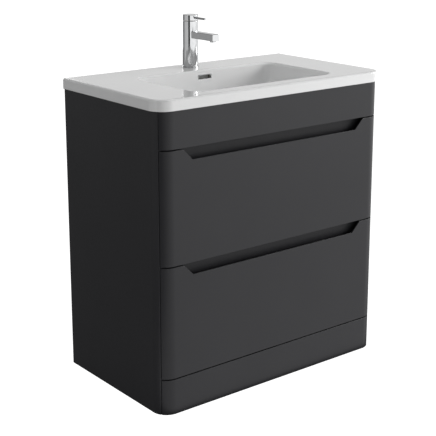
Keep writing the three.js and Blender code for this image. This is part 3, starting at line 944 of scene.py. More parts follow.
@dataclass
class Carcass:
    """Side panels, front boards, rails and fittings of the fixed cabinet."""

    shop: Workshop
    plan: CabinetPlan
    edge_radius: float = 1.2 * MM
    slot_edge_radius: float = 1.9 * MM

    def front_board(self, name: str, slot: FingerSlot | None = None) -> bpy.types.Object:
        """A front board: sections in Y and Z carried across X.

        Each section runs round its face, its top land, its scoop and its back; at the seams the
        section shrinks to a line, because the round corner meets the board's back there.

        Args:
            name: the CAD node that it stands for.
            slot: the finger slot in its top edge, if it has one.

        Returns:
            The object.
        """
        low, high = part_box(name)
        columns = list(self.plan.front_columns()) + [60 * MM * i for i in range(5)]
        notch = slot or FingerSlot(half_width=0.2, depth=0.0, scoop=0.0)
        half = np.unique(np.round(columns + (notch.breaks() if slot else []), 7))
        x = np.unique(np.concatenate([-half, half]))
        face = np.minimum(self.plan.face_y(x), self.plan.board_back_y)
        back = np.full_like(x, self.plan.board_back_y)
        front_top = notch.notch(x, high.z, 0.0)
        back_top = notch.notch(x, high.z, notch.scoop)
        land = notch.land_back(x, face, self.plan.board_back_y) if slot else back
        bottom = np.full_like(x, low.z)
        section = [(face, bottom), (face, front_top), (land, front_top), (back, back_top), (back, bottom)]
        rings = np.stack([np.column_stack([x, y, z]) for y, z in section], axis=1)
        board = skin(f"{name}_board", rings, capped=True)
        add_bevel(board, self.slot_edge_radius if slot else self.edge_radius)
        return self.shop.dress(board, Slot.LACQUER, [name])

    def side_panel(self, hand: Hand) -> bpy.types.Object:
        """A side panel: its plan, with the front edge on the corner arc, carried up from the floor.

        Args:
            hand: the side.

        Returns:
            The object.
        """
        name = f"side_panel_{hand.label}"
        low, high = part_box(name)
        seam = math.asin((self.plan.arc_y - low.y) / self.plan.corner_radius)
        angle = np.linspace(0, seam, self.plan.arc_steps)
        arc_x = self.plan.arc_x + self.plan.corner_radius * np.cos(angle)
        arc_y = self.plan.arc_y - self.plan.corner_radius * np.sin(angle)
        inner = min(abs(low.x), abs(high.x))
        x = np.concatenate([[self.plan.half_width], arc_x, [inner, inner]]) * hand.value
        y = np.concatenate([[high.y], arc_y, [low.y, high.y]])
        rings = np.stack([np.column_stack([x, y, np.full_like(x, z)]) for z in (low.z, high.z)])
        panel = skin(f"{name}_board", rings)
        add_bevel(panel, self.edge_radius)
        return self.shop.dress(panel, Slot.LACQUER, [name])

    def finger_rail(self, level: Level) -> None:
        """The rail behind a finger slot: a board that hangs just below the slot's floor, in a darker lacquer
        that is painted shade of the recess.
        """
        name = f"{level.value}_finger_rail"
        low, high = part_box(name)
        rail = pillow_block(f"{name}_board", low, high, 0.5 * MM, 0.5 * MM)
        # the darker rail material is painted shade of the recess behind the slot
        self.shop.dress(rail, Slot.LACQUER, [name], material=self.shop.foil)

    def build(self) -> None:
        """Builds and dresses the fixed cabinet."""
        self.front_board("plinth_front")
        self.front_board("top_fascia")
        for hand in Hand:
            self.side_panel(hand)
            self.shop.ease_node(f"plinth_block_{hand.label}", Slot.DRAWER_BOARD, 1 * MM)
            self.shop.ease_node(f"fascia_block_{hand.label}", Slot.DRAWER_BOARD, 1 * MM)
            self.shop.ease_node(f"wall_bracket_{hand.label}", Slot.ZINC_STEEL, 0.4 * MM)
        for level in Level:
            self.finger_rail(level)
            self.shop.ease_node(f"{level.value}_back_rail", Slot.DRAWER_BOARD, 0.6 * MM)
        self.shop.ease_node("base_panel", Slot.DRAWER_BOARD, 0.6 * MM)


# ---------------------------------------------------------------- drawers


@dataclass
class Drawer:
    """One drawer: its front with the finger slot, its box, brackets, bumpers and runners."""

    shop: Workshop
    carcass: Carcass
    level: Level
    bumper_radius: float = 3 * MM
    bumper_height: float = 1.6 * MM
    bumper_inset: float = 22 * MM

    def node(self, part: str) -> str:
        """The full name of one of this drawer's CAD nodes."""
        return f"{self.level.value}_{part}"

    def bumpers(self) -> None:
        """Soft domed pads near the front's corners, which land on the side panels' edges.

        A pad is a flattened dome: its height follows the square root of one minus 0.7 of the radius squared.
        """
        low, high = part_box(self.node("drawer_front"))
        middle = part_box("side_panel_right")[0].x + self.bumper_radius + 0.6 * MM
        share = np.linspace(1, 0, 7)
        dome = np.column_stack([self.bumper_radius * share, self.bumper_height * np.sqrt(1 - 0.7 * share**2)])
        profile = np.vstack([[0, 0], [self.bumper_radius, 0], dome])
        for hand in Hand:
            for place, z in (("low", low.z + self.bumper_inset), ("high", high.z - self.bumper_inset)):
                pad = turned(self.node(f"bumper_{place}_{hand.label}"), profile, (0, 0), around=24)
                x, y, z_local = points_of(pad).T
                reshape(pad, np.column_stack([x + hand.value * middle, high.y + z_local, z - y]))
                self.shop.dress(pad, Slot.WHITE_PLASTIC, body=self.shop.owner[self.node("drawer_front")],
                                material=self.shop.bumper_skin)

    def build(self) -> None:
        """Builds and dresses the drawer."""
        self.carcass.front_board(self.node("drawer_front"), FingerSlot())
        for part in ("base", "back", "side_left", "side_right"):
            self.shop.ease_node(self.node(f"drawer_{part}"), Slot.DRAWER_BOARD, 0.8 * MM)
        for hand in Hand:
            self.shop.ease_node(self.node(f"front_bracket_{hand.label}"), Slot.ZINC_STEEL, 0.3 * MM)
            for member in ("cabinet", "middle", "drawer"):
                self.shop.ease_node(self.node(f"runner_{member}_{hand.label}"), Slot.ZINC_STEEL, 0.25 * MM)
        self.bumpers()


# ---------------------------------------------------------------- basin


@dataclass
class Basin:
    """The washbasin: a slab with a rectangular bowl, as rings from the waste hole out and back."""

    shop: Workshop
    bowl_low: tuple[float, float] = (-255 * MM, -186.5 * MM)
    bowl_high: tuple[float, float] = (255 * MM, 108.5 * MM)
    bowl_corner: float = 40 * MM
    bowl_depth: float = 115 * MM
    floor_fall: float = 2.5 * MM
    floor_fillet: float = 34 * MM
    rim_radius: float = 6 * MM
    draft: float = math.radians(6)
    wall: float = 9 * MM
    front_corner: float = 48 * MM
    back_corner: float = 4 * MM
    edge_radius: float = 6 * MM
    deck: float = 13 * MM
    skirt: float = 22 * MM
    waste_radius: float = 23 * MM
    tap_hole_radius: float = 17.5 * MM
    overflow_half_width: float = 24.9 * MM
    overflow_half_height: float = 6.4 * MM
    per_corner: int = 20
    per_side: int = 22
    top: float = field(init=False)
    under: float = field(init=False)
    low: Vector = field(init=False)
    high: Vector = field(init=False)

    def __post_init__(self) -> None:
        """Reads the slab's outline and heights from the frame."""
        self.low, self.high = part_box("basin")
        self.top = self.high.z
        self.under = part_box("side_panel_left")[1].z + 0.3 * MM

    def ring(self, low: Sequence[float], high: Sequence[float], radii: Sequence[float], z: float) -> Array:
        """A rounded rectangle with the point count that every ring of the basin has, at a height."""
        return lift(rounded_outline(low, high, radii, self.per_corner, self.per_side), z)

    def bowl_ring(self, inset: float, z: float) -> Array:
        """The bowl's rounded rectangle, drawn in by an inset, at a height."""
        radius = max(self.bowl_corner - inset, 14 * MM)
        low = [v + inset for v in self.bowl_low]
        high = [v - inset for v in self.bowl_high]
        return self.ring(low, high, [radius] * 4, z)

    def slab_ring(self, inset: float, z: float) -> Array:
        """The slab's outline, drawn in by an inset, at a height."""
        front = max(self.front_corner - inset, 6 * MM)
        back = max(self.back_corner - inset, 0.6 * MM)
        low = (self.low.x + inset, self.low.y + inset)
        high = (self.high.x - inset, self.high.y - inset)
        return self.ring(low, high, [front, front, back, back], z)

    def waste_ring(self, radius: float, z: float) -> Array:
        """A circle round the waste, with its points where the bowl's corners and sides need them."""
        x, y = self.waste_centre
        low, high = (x - radius, y - radius), (x + radius, y + radius)
        return self.ring(low, high, [radius - 0.001 * MM] * 4, z)

    @property
    def waste_centre(self) -> tuple[float, float]:
        """The middle of the bowl in plan."""
        return tuple((a + b) / 2 for a, b in zip(self.bowl_low, self.bowl_high))

    def bowl_section(self) -> list[tuple[float, float]]:
        """Insets and heights of the bowl's inside from the floor's edge to the deck.

        The floor turns up in an arc to the drafted wall, and the wall turns over the rim in another.

        Returns:
            Pairs of inset and height.
        """
        floor_z = self.top - self.bowl_depth + self.floor_fall
        lean = self.draft
        turn = np.linspace(0, np.pi / 2 - lean, 12)
        rim_centre = self.top - self.rim_radius
        rim = np.linspace(lean, np.pi / 2, 9)
        rim_points = [
            (self.rim_radius * (1 - math.sin(a)), rim_centre + self.rim_radius * math.sin(a)) for a in rim
        ]
        wall_top_inset, wall_top_z = rim_points[0]
        fillet_top_z = floor_z + self.floor_fillet * (1 - math.sin(lean))
        drop = wall_top_z - fillet_top_z
        wall_foot_inset = wall_top_inset + drop * math.tan(lean)
        fillet_points = [
            (
                wall_foot_inset + self.floor_fillet * (math.cos(lean) - math.sin(a)),
                floor_z + self.floor_fillet * (1 - math.cos(a)),
            )
            for a in turn
        ]
        share = np.linspace(0, 1, 6)[1:-1]
        run = wall_top_inset - wall_foot_inset
        wall_points = [(wall_foot_inset + run * s, fillet_top_z + drop * s) for s in share]
        return fillet_points + wall_points + rim_points

    def shell(self) -> bpy.types.Object:
        """The whole basin as one closed stack of rings, its last ring joined to its first.

        Returns:
            The object, before its tap hole and overflow are cut.
        """
        floor_z = self.top - self.bowl_depth
        section = self.bowl_section()
        rings = [
            self.waste_ring(self.waste_radius, floor_z - self.wall + 1 * MM),
            self.waste_ring(self.waste_radius, floor_z - 0.8 * MM),
            self.waste_ring(self.waste_radius + 0.8 * MM, floor_z),
        ]
        foot = self.bowl_ring(*section[0])
        hole = rings[-1]
        for share in (0.06, 0.18, 0.34, 0.52, 0.7, 0.86, 0.97):
            rings.append(hole * (1 - share) + foot * share)
        rings += [self.bowl_ring(inset, z) for inset, z in section]
        rim = rings[-1]
        edge = self.slab_ring(self.edge_radius, self.top)
        rings += [rim * (1 - share) + edge * share for share in (0.01, 0.2, 0.4, 0.6, 0.8, 0.99)]
        quarter = np.radians(np.linspace(90, 0, 7))
        radius = self.edge_radius
        rings += [self.slab_ring(radius * (1 - math.cos(a)), self.top - radius * (1 - math.sin(a)))
                  for a in quarter]
        ease = 1.2 * MM
        rings += [self.slab_ring(0, z) for z in (self.top - radius - 1 * MM, self.under + ease + 1 * MM)]
        rings += [self.slab_ring(ease * (1 - math.sin(a)), self.under + ease * (1 - math.cos(a)))
                  for a in np.radians((90, 60, 30, 0))]
        inner_z = self.top - self.deck
        rings += [
            self.slab_ring(self.skirt - 1 * MM, self.under),
            self.slab_ring(self.skirt, self.under + 1 * MM),
            self.slab_ring(self.skirt, inner_z - 2 * MM),
            self.slab_ring(self.skirt + 2 * MM, inner_z),
        ]
        outside = [(inset - self.wall, z - self.wall * (1 - s)) for (inset, z), s in
                   zip(section[:16], np.linspace(0, 1, 16))]
        outside = [(inset, z) for inset, z in outside if z < inner_z - 2 * MM]
        rings.append(self.bowl_ring(outside[-1][0] - 2 * MM, inner_z))
        rings += [self.bowl_ring(inset, z) for inset, z in reversed(outside)]
        return skin("basin_shell", np.array(rings), capped=False, wrap=True, smooth_angle=40)

    def build(self) -> None:
        """Builds the basin, cuts its tap hole and overflow, and dresses it."""
        shell = self.shell()
        tap_low, tap_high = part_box("tap_body")
        tap_x, tap_y = 0.0, tap_high.y - (tap_high.x - tap_low.x) / 2
        foot, head, hole = self.top - 60 * MM, self.top + 20 * MM, self.tap_hole_radius
        drill_profile = np.array([(0, foot), (hole, foot), (hole, head), (0, head)])
        cut_away(shell, turned("drill", drill_profile, (tap_x, tap_y), around=64))
        low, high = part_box("overflow_trim")
        middle = (low + high) / 2
        across, up = self.overflow_half_width, self.overflow_half_height
        slot = pillow_block("mill", (-across, middle.y - 20 * MM, middle.z - up),
                            (across, middle.y + 30 * MM, middle.z + up), 1 * MM, 1 * MM)
        reshape(slot, tilt_about_x(points_of(slot), (0, middle.y, middle.z), -self.draft))
        cut_away(shell, slot)
        self.shop.dress(shell, Slot.CERAMIC, ["basin"])


@dataclass
class OverflowTrim:
    """The overflow's chrome frame: a profile carried round a rounded rectangle, tilted with the wall."""

    shop: Workshop
    lip: float = 3.6 * MM
    sleeve: float = 1.2 * MM
    corner: float = 2.2 * MM
    half_height: float = 8.5 * MM
    tilt: float = -math.radians(6)

    def section(self) -> Array:
        """The frame's section: inset from the outer edge, and depth behind the wall's surface.

        A quarter circle turns the outside to the face, and a larger one turns the face into the throat.

        Returns:
            Rows of inset and depth.
        """
        face, back, deep = -1.8 * MM, -0.3 * MM, 6 * MM
        outer, inner = 1.2 * MM, 1.7 * MM
        throat = self.lip - self.sleeve
        return np.vstack([
            [(0.0, back)],
            fillet((outer, face + outer), outer, 180, 270),
            fillet((self.lip - inner, face + inner), inner, 270, 360),
            [(self.lip, deep), (throat, deep), (throat, back)],
        ])

    def build(self) -> None:
        """Builds the frame and its duct behind the bowl."""
        low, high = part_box("overflow_trim")
        middle = (low + high) / 2
        half_width = (high.x - low.x) / 2
        rings = []
        for inset, depth in self.section():
            across, up = half_width - inset, self.half_height - inset
            radius = max(self.corner - inset, 0.5 * MM)
            outline = rounded_outline((-across, -up), (across, up), [radius] * 4, per_corner=8, per_side=6)
            rings.append(np.column_stack([outline[:, 0], np.full(len(outline), depth), outline[:, 1]]))
        frame_piece = skin("overflow_frame", np.array(rings), capped=False, wrap=True, smooth_angle=50)
        wall_y = low.y + 1.8 * MM + 0.6 * MM
        placed = tilt_about_x(points_of(frame_piece), (0, 0, 0), self.tilt) + (0, wall_y, middle.z)
        reshape(frame_piece, placed)
        self.shop.dress(frame_piece, Slot.CHROME, ["overflow_trim"])
        self.shop.ease_node("overflow_duct", Slot.WHITE_PLASTIC, 2.5 * MM)


# ---------------------------------------------------------------- waste and trap


@dataclass
class Waste:
    """The bowl's pop-up waste and the pipes to the wall."""

    shop: Workshop
    centre: tuple[float, float] = field(init=False)
    floor: float = field(init=False)

    def __post_init__(self) -> None:
        """Reads the waste's axis and the bowl floor from the frame."""
        low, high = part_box("waste_flange")
        self.centre = ((low.x + high.x) / 2, (low.y + high.y) / 2)
        self.floor = high.z - 3 * MM

    def flange(self) -> None:
        """The chrome ring in the bowl floor with its tube: a rounded lip and a bore."""
        low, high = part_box("waste_flange")
        rim = (high.x - low.x) / 2
        tube, bore = 22 * MM, 19 * MM
        top, seat = high.z, self.floor + 0.3 * MM
        profile = np.vstack([
            [(bore, low.z), (tube, low.z), (tube, seat), (rim - 0.6 * MM, seat)],
            fillet((rim - 1.2 * MM, self.floor + 1.2 * MM), 0.9 * MM, -40, 60, 6),
            fillet((tube + 1 * MM, top - 1.5 * MM), 1.5 * MM, 80, 180, 7),
            [(bore + 0.6 * MM, top - 3.5 * MM), (bore, top - 5 * MM)],
        ])
        ring = turned("waste_ring", profile, self.centre, closed=True)
        self.shop.dress(ring, Slot.CHROME, ["waste_flange"])

    def plug(self) -> None:
        """The click plug: a low dome with a rolled edge on a stem."""
        low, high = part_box("waste_plug")
        rim = (high.x - low.x) / 2
        share = np.linspace(1, 0, 12)
        dome_z = high.z - 3.2 * MM * share**2
        stem, seat = 4 * MM, self.floor + 3.6 * MM
        profile = np.vstack([
            [(0, low.z), (stem, low.z), (stem, seat), (rim - 2 * MM, seat)],
            fillet((rim - 1.1 * MM, self.floor + 4.9 * MM), 1.1 * MM, -80, 70, 8),
            np.column_stack([(rim - 2 * MM) * share, dome_z]),
        ])
        self.shop.dress(turned("waste_dome", profile, self.centre), Slot.CHROME, ["waste_plug"])

    def ribbed(self, name: str, bore: float, outer: float, low: float, high: float, centre: Sequence[float],
               ribs: int = 24, depth: float = 1.2 * MM) -> bpy.types.Object:
        """A ribbed slip nut: the outer radius swells and dips with the cosine of ribs times the angle.

        Args:
            name: the object's name.
            bore: inner radius.
            outer: outer radius over the ribs.
            low: lowest height.
            high: highest height.
            centre: x and y of the axis.
            ribs: number of ribs.
            depth: depth of the grooves.

        Returns:
            The object.
        """
        angle = np.linspace(0, 2 * np.pi, ribs * 8, endpoint=False)
        wave = depth * (0.5 + 0.5 * np.cos(ribs * angle)) ** 3
        edge = 1.2 * MM
        levels = [(bore, low, 0), (outer - edge, low, 0), (outer, low + edge, 1), (outer, high - edge, 1),
                  (outer - edge, high, 0), (bore, high, 0)]
        rings = np.array([
            np.column_stack([
                centre[0] + (radius - wave * grooved) * np.cos(angle),
                centre[1] + (radius - wave * grooved) * np.sin(angle),
                np.full_like(angle, z),
            ])
            for radius, z, grooved in levels
        ])
        return skin(name, rings, capped=False, wrap=True, smooth_angle=40)

    def pipe(self, name: str, path: Array, outer: float, wall: float, around: int = 48) -> bpy.types.Object:
        """A pipe whose path lies in the plane x = 0.

        Rings of the outer radius go along the path and rings of the inner radius come back, each at
        right angles to the path's direction there.

        Args:
            name: the object's name.
            path: rows of y and z.
            outer: outer radius.
            wall: wall thickness.
            around: points in a ring.

        Returns:
            The object.
        """
        direction = np.gradient(path, axis=0)
        direction /= np.linalg.norm(direction, axis=1, keepdims=True)
        across = np.column_stack([-direction[:, 1], direction[:, 0]])
        angle = np.linspace(0, 2 * np.pi, around, endpoint=False)

        def rings(radius: float) -> Array:
            """Rings of one radius along the path."""
            offset = radius * np.sin(angle)[None, :, None] * across[:, None, :]
            centre = path[:, None, :] + offset
            x = np.broadcast_to(radius * np.cos(angle), centre.shape[:2])
            return np.concatenate([x[..., None], centre], axis=-1)

        both = np.concatenate([rings(outer), rings(outer - wall)[::-1]])
        return skin(name, both, capped=False, wrap=True, smooth_angle=40)

    def drain(self) -> None:
        """Collar, nut, bent pipe, bottle trap and outlet."""
        low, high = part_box("waste_collar")
        rim = (high.x - low.x) / 2
        collar = self.ribbed("waste_collar_ribbed", 22.3 * MM, rim, low.z, high.z, self.centre, ribs=30)
        self.shop.dress(collar, Slot.WHITE_PLASTIC, ["waste_collar"])
        self.shop.ease_node("waste_nut", Slot.BRASS, 0.8 * MM)

        low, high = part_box("waste_pipe")
        outer, wall = (high.x - low.x) / 2, 2.5 * MM
        bend = 30 * MM
        run_z = low.z + outer
        turn = np.radians(np.linspace(180, 270, 17))
        bend_y = self.centre[1] + bend + bend * np.cos(turn)
        bend_z = run_z + bend + bend * np.sin(turn)
        path = np.vstack([[(self.centre[1], high.z)], np.column_stack([bend_y, bend_z]), [(high.y, run_z)]])
        self.shop.dress(self.pipe("waste_bend", path, outer, wall), Slot.WHITE_PLASTIC, ["waste_pipe"])

        low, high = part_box("trap_outlet")
        run = np.array([(low.y, (low.z + high.z) / 2), (high.y, (low.z + high.z) / 2)])
        outlet = self.pipe("trap_outlet_pipe", run, outer, wall)
        self.shop.dress(outlet, Slot.WHITE_PLASTIC, ["trap_outlet"])

        low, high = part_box("trap_body")
        centre = (0.0, (low.y + high.y) / 2)
        radius = (high.x - low.x) / 2
        dome = fillet((radius - 9 * MM, high.z - 9 * MM), 9 * MM, 0, 90, 9)
        foot = [(0, low.z), (radius - 1 * MM, low.z), (radius, low.z + 1 * MM)]
        profile = np.vstack([foot, dome, [(0, high.z)]])
        self.shop.dress(turned("trap_bottle", profile, centre), Slot.WHITE_PLASTIC, ["trap_body"])

        low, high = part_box("trap_cup")
        outer_cup = (high.x - low.x) / 2
        grip = self.ribbed("cup_grip", 1 * MM, outer_cup, high.z - 22 * MM, high.z, centre, ribs=28)
        bottom = fillet((outer_cup - 13 * MM, low.z + 8 * MM), 8 * MM, -90, 0, 8)
        top = high.z - 21 * MM
        cup_profile = np.vstack([[(0, low.z)], bottom, [(outer_cup - 5 * MM, top), (0, top)]])
        cup = turned("cup_bowl", cup_profile, centre)
        self.shop.dress(merge("trap_cup_moulding", [grip, cup]), Slot.WHITE_PLASTIC, ["trap_cup"])

    def build(self) -> None:
        """Builds and dresses everything below the bowl."""
        self.flange()
        self.plug()
        self.drain()


# ---------------------------------------------------------------- tap


@dataclass
class Tap:
    """Single-lever mixer: a plain column, a square spout, a cap that lifts and turns, and a pin lever."""

    shop: Workshop
    cap_pivot_back: float = 10 * MM
    cap_lift: float = math.radians(18.5)
    centre: tuple[float, float] = field(init=False)
    radius: float = field(init=False)
    deck: float = field(init=False)

    def __post_init__(self) -> None:
        """Reads the column's axis and radius from the frame."""
        low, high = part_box("tap_cap")
        self.radius = (high.x - low.x) / 2
        self.centre = (0.0, (low.y + high.y) / 2)
        self.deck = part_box("basin")[1].z

    def column(self) -> None:
        """The column: a tube with eased ends, open at the top for the cartridge, and its shank."""
        low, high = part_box("tap_body")
        radius, seat = self.radius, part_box("tap_base_ring")[1].z + 0.3 * MM
        shank = 16 * MM
        chamber = high.z - 24 * MM
        profile = np.vstack([
            [(0, low.z), (shank - 1 * MM, low.z), (shank, low.z + 1 * MM), (shank, seat)],
            fillet((radius - 0.5 * MM, seat + 0.5 * MM), 0.5 * MM, -90, 0, 4),
            fillet((radius - 0.6 * MM, high.z - 0.6 * MM), 0.6 * MM, 0, 90, 5),
            [(radius - 5 * MM, high.z), (radius - 5 * MM, chamber), (0, chamber)],
        ])
        column = turned("tap_column", profile, self.centre, around=128)
        spout = self.spout(low)
        self.shop.dress(column, Slot.CHROME, ["tap_body"])
        self.shop.dress(spout, Slot.CHROME, body="cabinet")

    def spout(self, low: Vector) -> bpy.types.Object:
        """The spout: a rounded square section carried forward, its tip eased all round.

        Args:
            low: lowest corner of the tap body, whose y is the spout's tip.

        Returns:
            The object.
        """
        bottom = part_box("tap_aerator")[0].z + 4 * MM
        width, height, corner, ease = 24 * MM, 20 * MM, 1.6 * MM, 1.2 * MM
        quarter = np.radians(np.linspace(0, 90, 6))
        ends = [(ease * (1 - math.sin(a)), low.y + ease * (1 - math.cos(a))) for a in quarter]
        root_y = self.centre[1] - self.radius * 0.7
        rings = []
        for inset, y in [*ends, (0.0, low.y + ease + 0.4 * MM), (0.0, root_y)]:
            near = (-width / 2 + inset, bottom + inset)
            far = (width / 2 - inset, bottom + height - inset)
            outline = rounded_outline(near, far, [corner] * 4, per_corner=7, per_side=3)
            rings.append(np.column_stack([outline[:, 0], np.full(len(outline), y), outline[:, 1]]))
        return skin("tap_spout", np.array(rings), smooth_angle=45)

    def cap(self) -> None:
        """The cap: an eased disc on a stem; behind the lift pivot its underside slopes up.

        The slope is the distance behind the pivot times the tangent of the lift.
        """
        low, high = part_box("tap_cap")
        radius = self.radius
        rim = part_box("tap_body")[1].z + 1.2 * MM
        stem = 4 * MM
        lower = np.vstack([[(0, low.z), (stem, low.z), (stem, rim), (radius - 0.5 * MM, rim)],
                           fillet((radius - 0.5 * MM, rim + 0.5 * MM), 0.5 * MM, -70, 0, 4)])
        upper = np.vstack([fillet((radius - 1.2 * MM, high.z - 1.2 * MM), 1.2 * MM, 0, 90, 7),
                           [(radius * 0.5, high.z), (0, high.z)]])
        cap = turned("tap_cap_turned", np.vstack([lower, upper]), self.centre, around=128)
        points = points_of(cap)
        pivot_y = self.centre[1] + self.cap_pivot_back
        under = (points[:, 2] >= rim - 0.01 * MM) & (points[:, 2] < rim + 1 * MM)
        rise = np.clip(points[:, 1] - pivot_y, 0, None) * math.tan(self.cap_lift)
        points[:, 2] += np.where(under, rise, 0)
        reshape(cap, points)
        self.shop.dress(cap, Slot.CHROME, ["tap_cap"])

    def lever(self) -> None:
        """The pin lever: a round bar with a domed tip, set 3 mm into the cap."""
        low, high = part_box("tap_lever")
        radius = (high.x - low.x) / 2
        middle_z = (low.z + high.z) / 2
        tip = 1.0 * MM
        quarter = np.radians(np.linspace(0, 90, 7))
        ends = [(radius - tip * (1 - math.sin(a)), low.y + tip * (1 - math.cos(a))) for a in quarter]
        angle = np.linspace(0, 2 * np.pi, 40, endpoint=False)
        stations = hold_flats([(0.0, low.y), *ends, (radius, high.y + 3 * MM), (0.0, high.y + 3 * MM)])
        rings = np.array([
            np.column_stack([r * np.cos(angle), np.full_like(angle, y), middle_z + r * np.sin(angle)])
            for r, y in stations
        ])
        self.shop.dress(skin("tap_pin_lever", rings, capped=False), Slot.CHROME, ["tap_lever"])

    def fittings(self) -> None:
        """Base ring, aerator, cartridge, carrier and the nut under the deck."""
        low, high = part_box("tap_base_ring")
        rim = (high.x - low.x) / 2
        profile = np.vstack([
            [(16.3 * MM, low.z), (rim, low.z)],
            fillet((rim - 0.9 * MM, high.z - 0.9 * MM), 0.9 * MM, 0, 90, 6),
            [(16.3 * MM, high.z)],
        ])
        ring = turned("tap_seat_ring", profile, self.centre, closed=True)
        self.shop.dress(ring, Slot.CHROME, ["tap_base_ring"])

        low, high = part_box("tap_aerator")
        centre = ((low.x + high.x) / 2, (low.y + high.y) / 2)
        rim = (high.x - low.x) / 2
        neck = rim - 0.9 * MM
        mesh_r = np.linspace(0, rim - 2 * MM, 22)
        mesh_z = low.z + 0.9 * MM + 0.35 * MM * np.cos(mesh_r / (0.55 * MM) * np.pi)
        profile = np.vstack([
            np.column_stack([mesh_r, mesh_z]),
            [(rim - 1.6 * MM, low.z + 0.2 * MM), (rim - 1.2 * MM, low.z), (rim - 0.6 * MM, low.z)],
            [(rim, low.z + 0.6 * MM), (rim, high.z - 5.6 * MM)],
            [(neck, high.z - 5.4 * MM), (neck, high.z), (0, high.z)],
        ])
        insert = turned("tap_aerator_insert", profile, centre, around=48)
        self.shop.dress(insert, Slot.CHROME, ["tap_aerator"])
        self.shop.ease_node("tap_cartridge", Slot.WHITE_PLASTIC, 0.4 * MM)
        self.shop.ease_node("tap_carrier", Slot.BRASS, 0.3 * MM)
        self.shop.ease_node("tap_nut", Slot.BRASS, 0.8 * MM)

    def build(self) -> None:
        """Builds and dresses the tap."""
        self.column()
        self.cap()
        self.lever()
        self.fittings()


# ---------------------------------------------------------------- studio


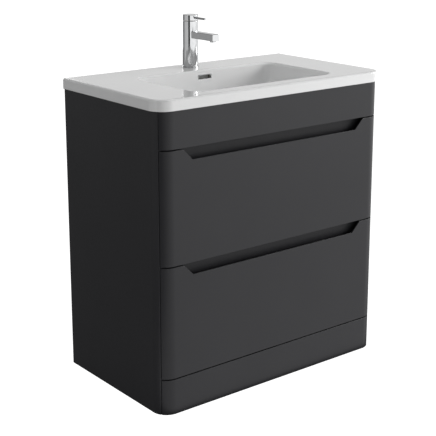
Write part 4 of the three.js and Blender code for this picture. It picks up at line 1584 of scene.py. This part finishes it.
@dataclass
class Studio:
    """Floor, light and camera round the cabinet."""

    camera_place: tuple[float, float, float] = (-1.953, -2.431, 1.360)
    camera_azimuth: float = 38.33
    camera_tilt: float = 13.40
    lens: float = 90.5
    shift_up: float = -0.14
    floor_size: float = 30.0
    ambient: float = 0.25

    def camera(self) -> None:
        """A long lens from the left, a little above the basin, looking down at the cabinet."""
        data = bpy.data.cameras.new("studio_camera")
        data.lens = self.lens
        data.shift_y = self.shift_up
        data.clip_end = 100
        camera = add_to_scene("studio_camera", data)
        azimuth, tilt = math.radians(self.camera_azimuth), math.radians(self.camera_tilt)
        level = math.cos(tilt)
        forward = Vector((math.sin(azimuth) * level, math.cos(azimuth) * level, -math.sin(tilt)))
        camera.location = self.camera_place
        camera.rotation_mode = "QUATERNION"
        camera.rotation_quaternion = forward.to_track_quat("-Z", "Y")
        bpy.context.scene.camera = camera

    def sheet(self, name: str, corners: Sequence[Sequence[float]], finish: Finish) -> bpy.types.Object:
        """A flat sheet that belongs to the studio.

        Args:
            name: the object's name.
            corners: its four corners in order.
            finish: what it is made of.

        Returns:
            The object.
        """
        mesh = bpy.data.meshes.new(name)
        mesh.from_pydata([tuple(corner) for corner in corners], [], [(0, 1, 2, 3)])
        mesh.materials.append(finish.build())
        sheet = add_to_scene(name, mesh)
        return sheet

    def floor(self) -> None:
        """A wide pale sheet of paper under the cabinet."""
        half, z = self.floor_size / 2, cad_low.z - 0.2 * MM
        corners = [(-half, -half, z), (half, -half, z), (half, half, z), (-half, half, z)]
        self.sheet("studio_floor", corners, PaleFloor())

    def lamp(self, name: str, place: Sequence[float], aim: Sequence[float],
             size: tuple[float, float], glow: float) -> None:
        """A rectangular soft box. Its power is its brightness times its area times pi.

        Args:
            name: the light's name.
            place: where it stands.
            aim: the point that it faces.
            size: its width and height.
            glow: its brightness, where white paper in full light is 1.
        """
        data = bpy.data.lights.new(name, "AREA")
        data.shape = "RECTANGLE"
        data.size, data.size_y = size
        data.energy = glow * size[0] * size[1] * math.pi
        lamp = add_to_scene(name, data)
        lamp.location = place
        lamp.rotation_mode = "QUATERNION"
        lamp.rotation_quaternion = (Vector(aim) - Vector(place)).to_track_quat("-Z", "Y")
        lamp.visible_camera = False

    def flag(self) -> None:
        """A black cloth on the left, seen only in reflections, which gives the chrome its dark line."""
        across = Vector((0.56, -0.83, 0)) * 0.35
        foot = Vector((-1.82, -1.06, cad_low.z))
        rise = Vector((0, 0, 2.2))
        corners = [foot - across, foot + across, foot + across + rise, foot - across + rise]
        self.sheet("black_flag", corners, BlackCloth()).visible_camera = False

    def light(self) -> None:
        """Soft boxes, pale walls and floors of light that only reflections see, a flag and a dim room."""
        self.lamp("key_softbox", (3.6, -1.6, 2.15), (0, 0, 0.6), (1.5, 1.4), 14.0)
        self.lamp("top_softbox", (0.0, 0.0, 3.0), (0, 0, 0), (2.2, 2.2), 0.8)
        self.lamp("left_softbox", (-2.6, -0.6, 2.2), (-0.3, 0.0, 0.85), (1.0, 1.0), 1.8)
        self.lamp("front_wall", (1.8, -2.9, 0.75), (1.8, 0, 0.75), (3.4, 1.5), 1.22)
        self.lamp("front_floor", (1.2, -1.68, 0.004), (1.2, -1.68, 1.0), (4.0, 2.88), 0.6)
        self.lamp("right_floor", (2.0, 1.5, 0.004), (2.0, 1.5, 1.0), (2.9, 3.0), 0.9)
        self.lamp("front_strip", (-1.25, -2.9, 0.65), (-1.25, 0, 0.65), (2.7, 0.8), 1.15)
        self.lamp("left_wall", (-3.0, 0.2, 0.45), (0, 0.2, 0.45), (3.4, 0.9), 0.55)
        self.lamp("rear_left_wall", (-2.9, 3.2, 0.45), (0, 0.1, 0.45), (2.4, 0.9), 0.28)
        self.lamp("right_wall", (3.4, -0.5, 0.75), (0, -0.5, 0.75), (4.6, 1.5), 1.0)
        self.lamp("back_wall", (1.6, 3.3, 1.2), (0, 0, 1.2), (4.4, 1.8), 0.45)
        self.lamp("rear_softbox", (0.5, 3.2, 1.15), (0.0, 0.2, 0.4), (1.5, 1.4), 2.0)
        self.flag()
        world = bpy.data.worlds.new("studio_room")
        bpy.context.scene.world = world
        world.use_nodes = True
        tree = world.node_tree
        tree.nodes.clear()
        seen = add_node(tree, "ShaderNodeLightPath").outputs["Is Camera Ray"]
        room = add_node(tree, "ShaderNodeBackground", Color=(1, 1, 1, 1), Strength=self.ambient)
        paper = add_node(tree, "ShaderNodeBackground", Color=(1, 1, 1, 1), Strength=SHOWN_WHITE)
        mixed = add_node(tree, "ShaderNodeMixShader", i0=seen, i1=room.outputs[0], i2=paper.outputs[0])
        add_node(tree, "ShaderNodeOutputWorld", Surface=mixed.outputs[0])

    def build(self) -> None:
        """Sets up the studio."""
        self.camera()
        self.floor()
        self.light()
        bpy.context.scene.view_settings.view_transform = "Standard"


def main() -> None:
    """Builds the studio and every sub-assembly in order."""
    logging.basicConfig(level=logging.INFO, format="%(name)s: %(message)s")
    Studio().build()
    shop = Workshop()
    carcass = Carcass(shop, CabinetPlan())
    carcass.build()
    for level in Level:
        Drawer(shop, carcass, level).build()
    Basin(shop).build()
    OverflowTrim(shop).build()
    Waste(shop).build()
    Tap(shop).build()


if __name__ == "__main__":
    main()
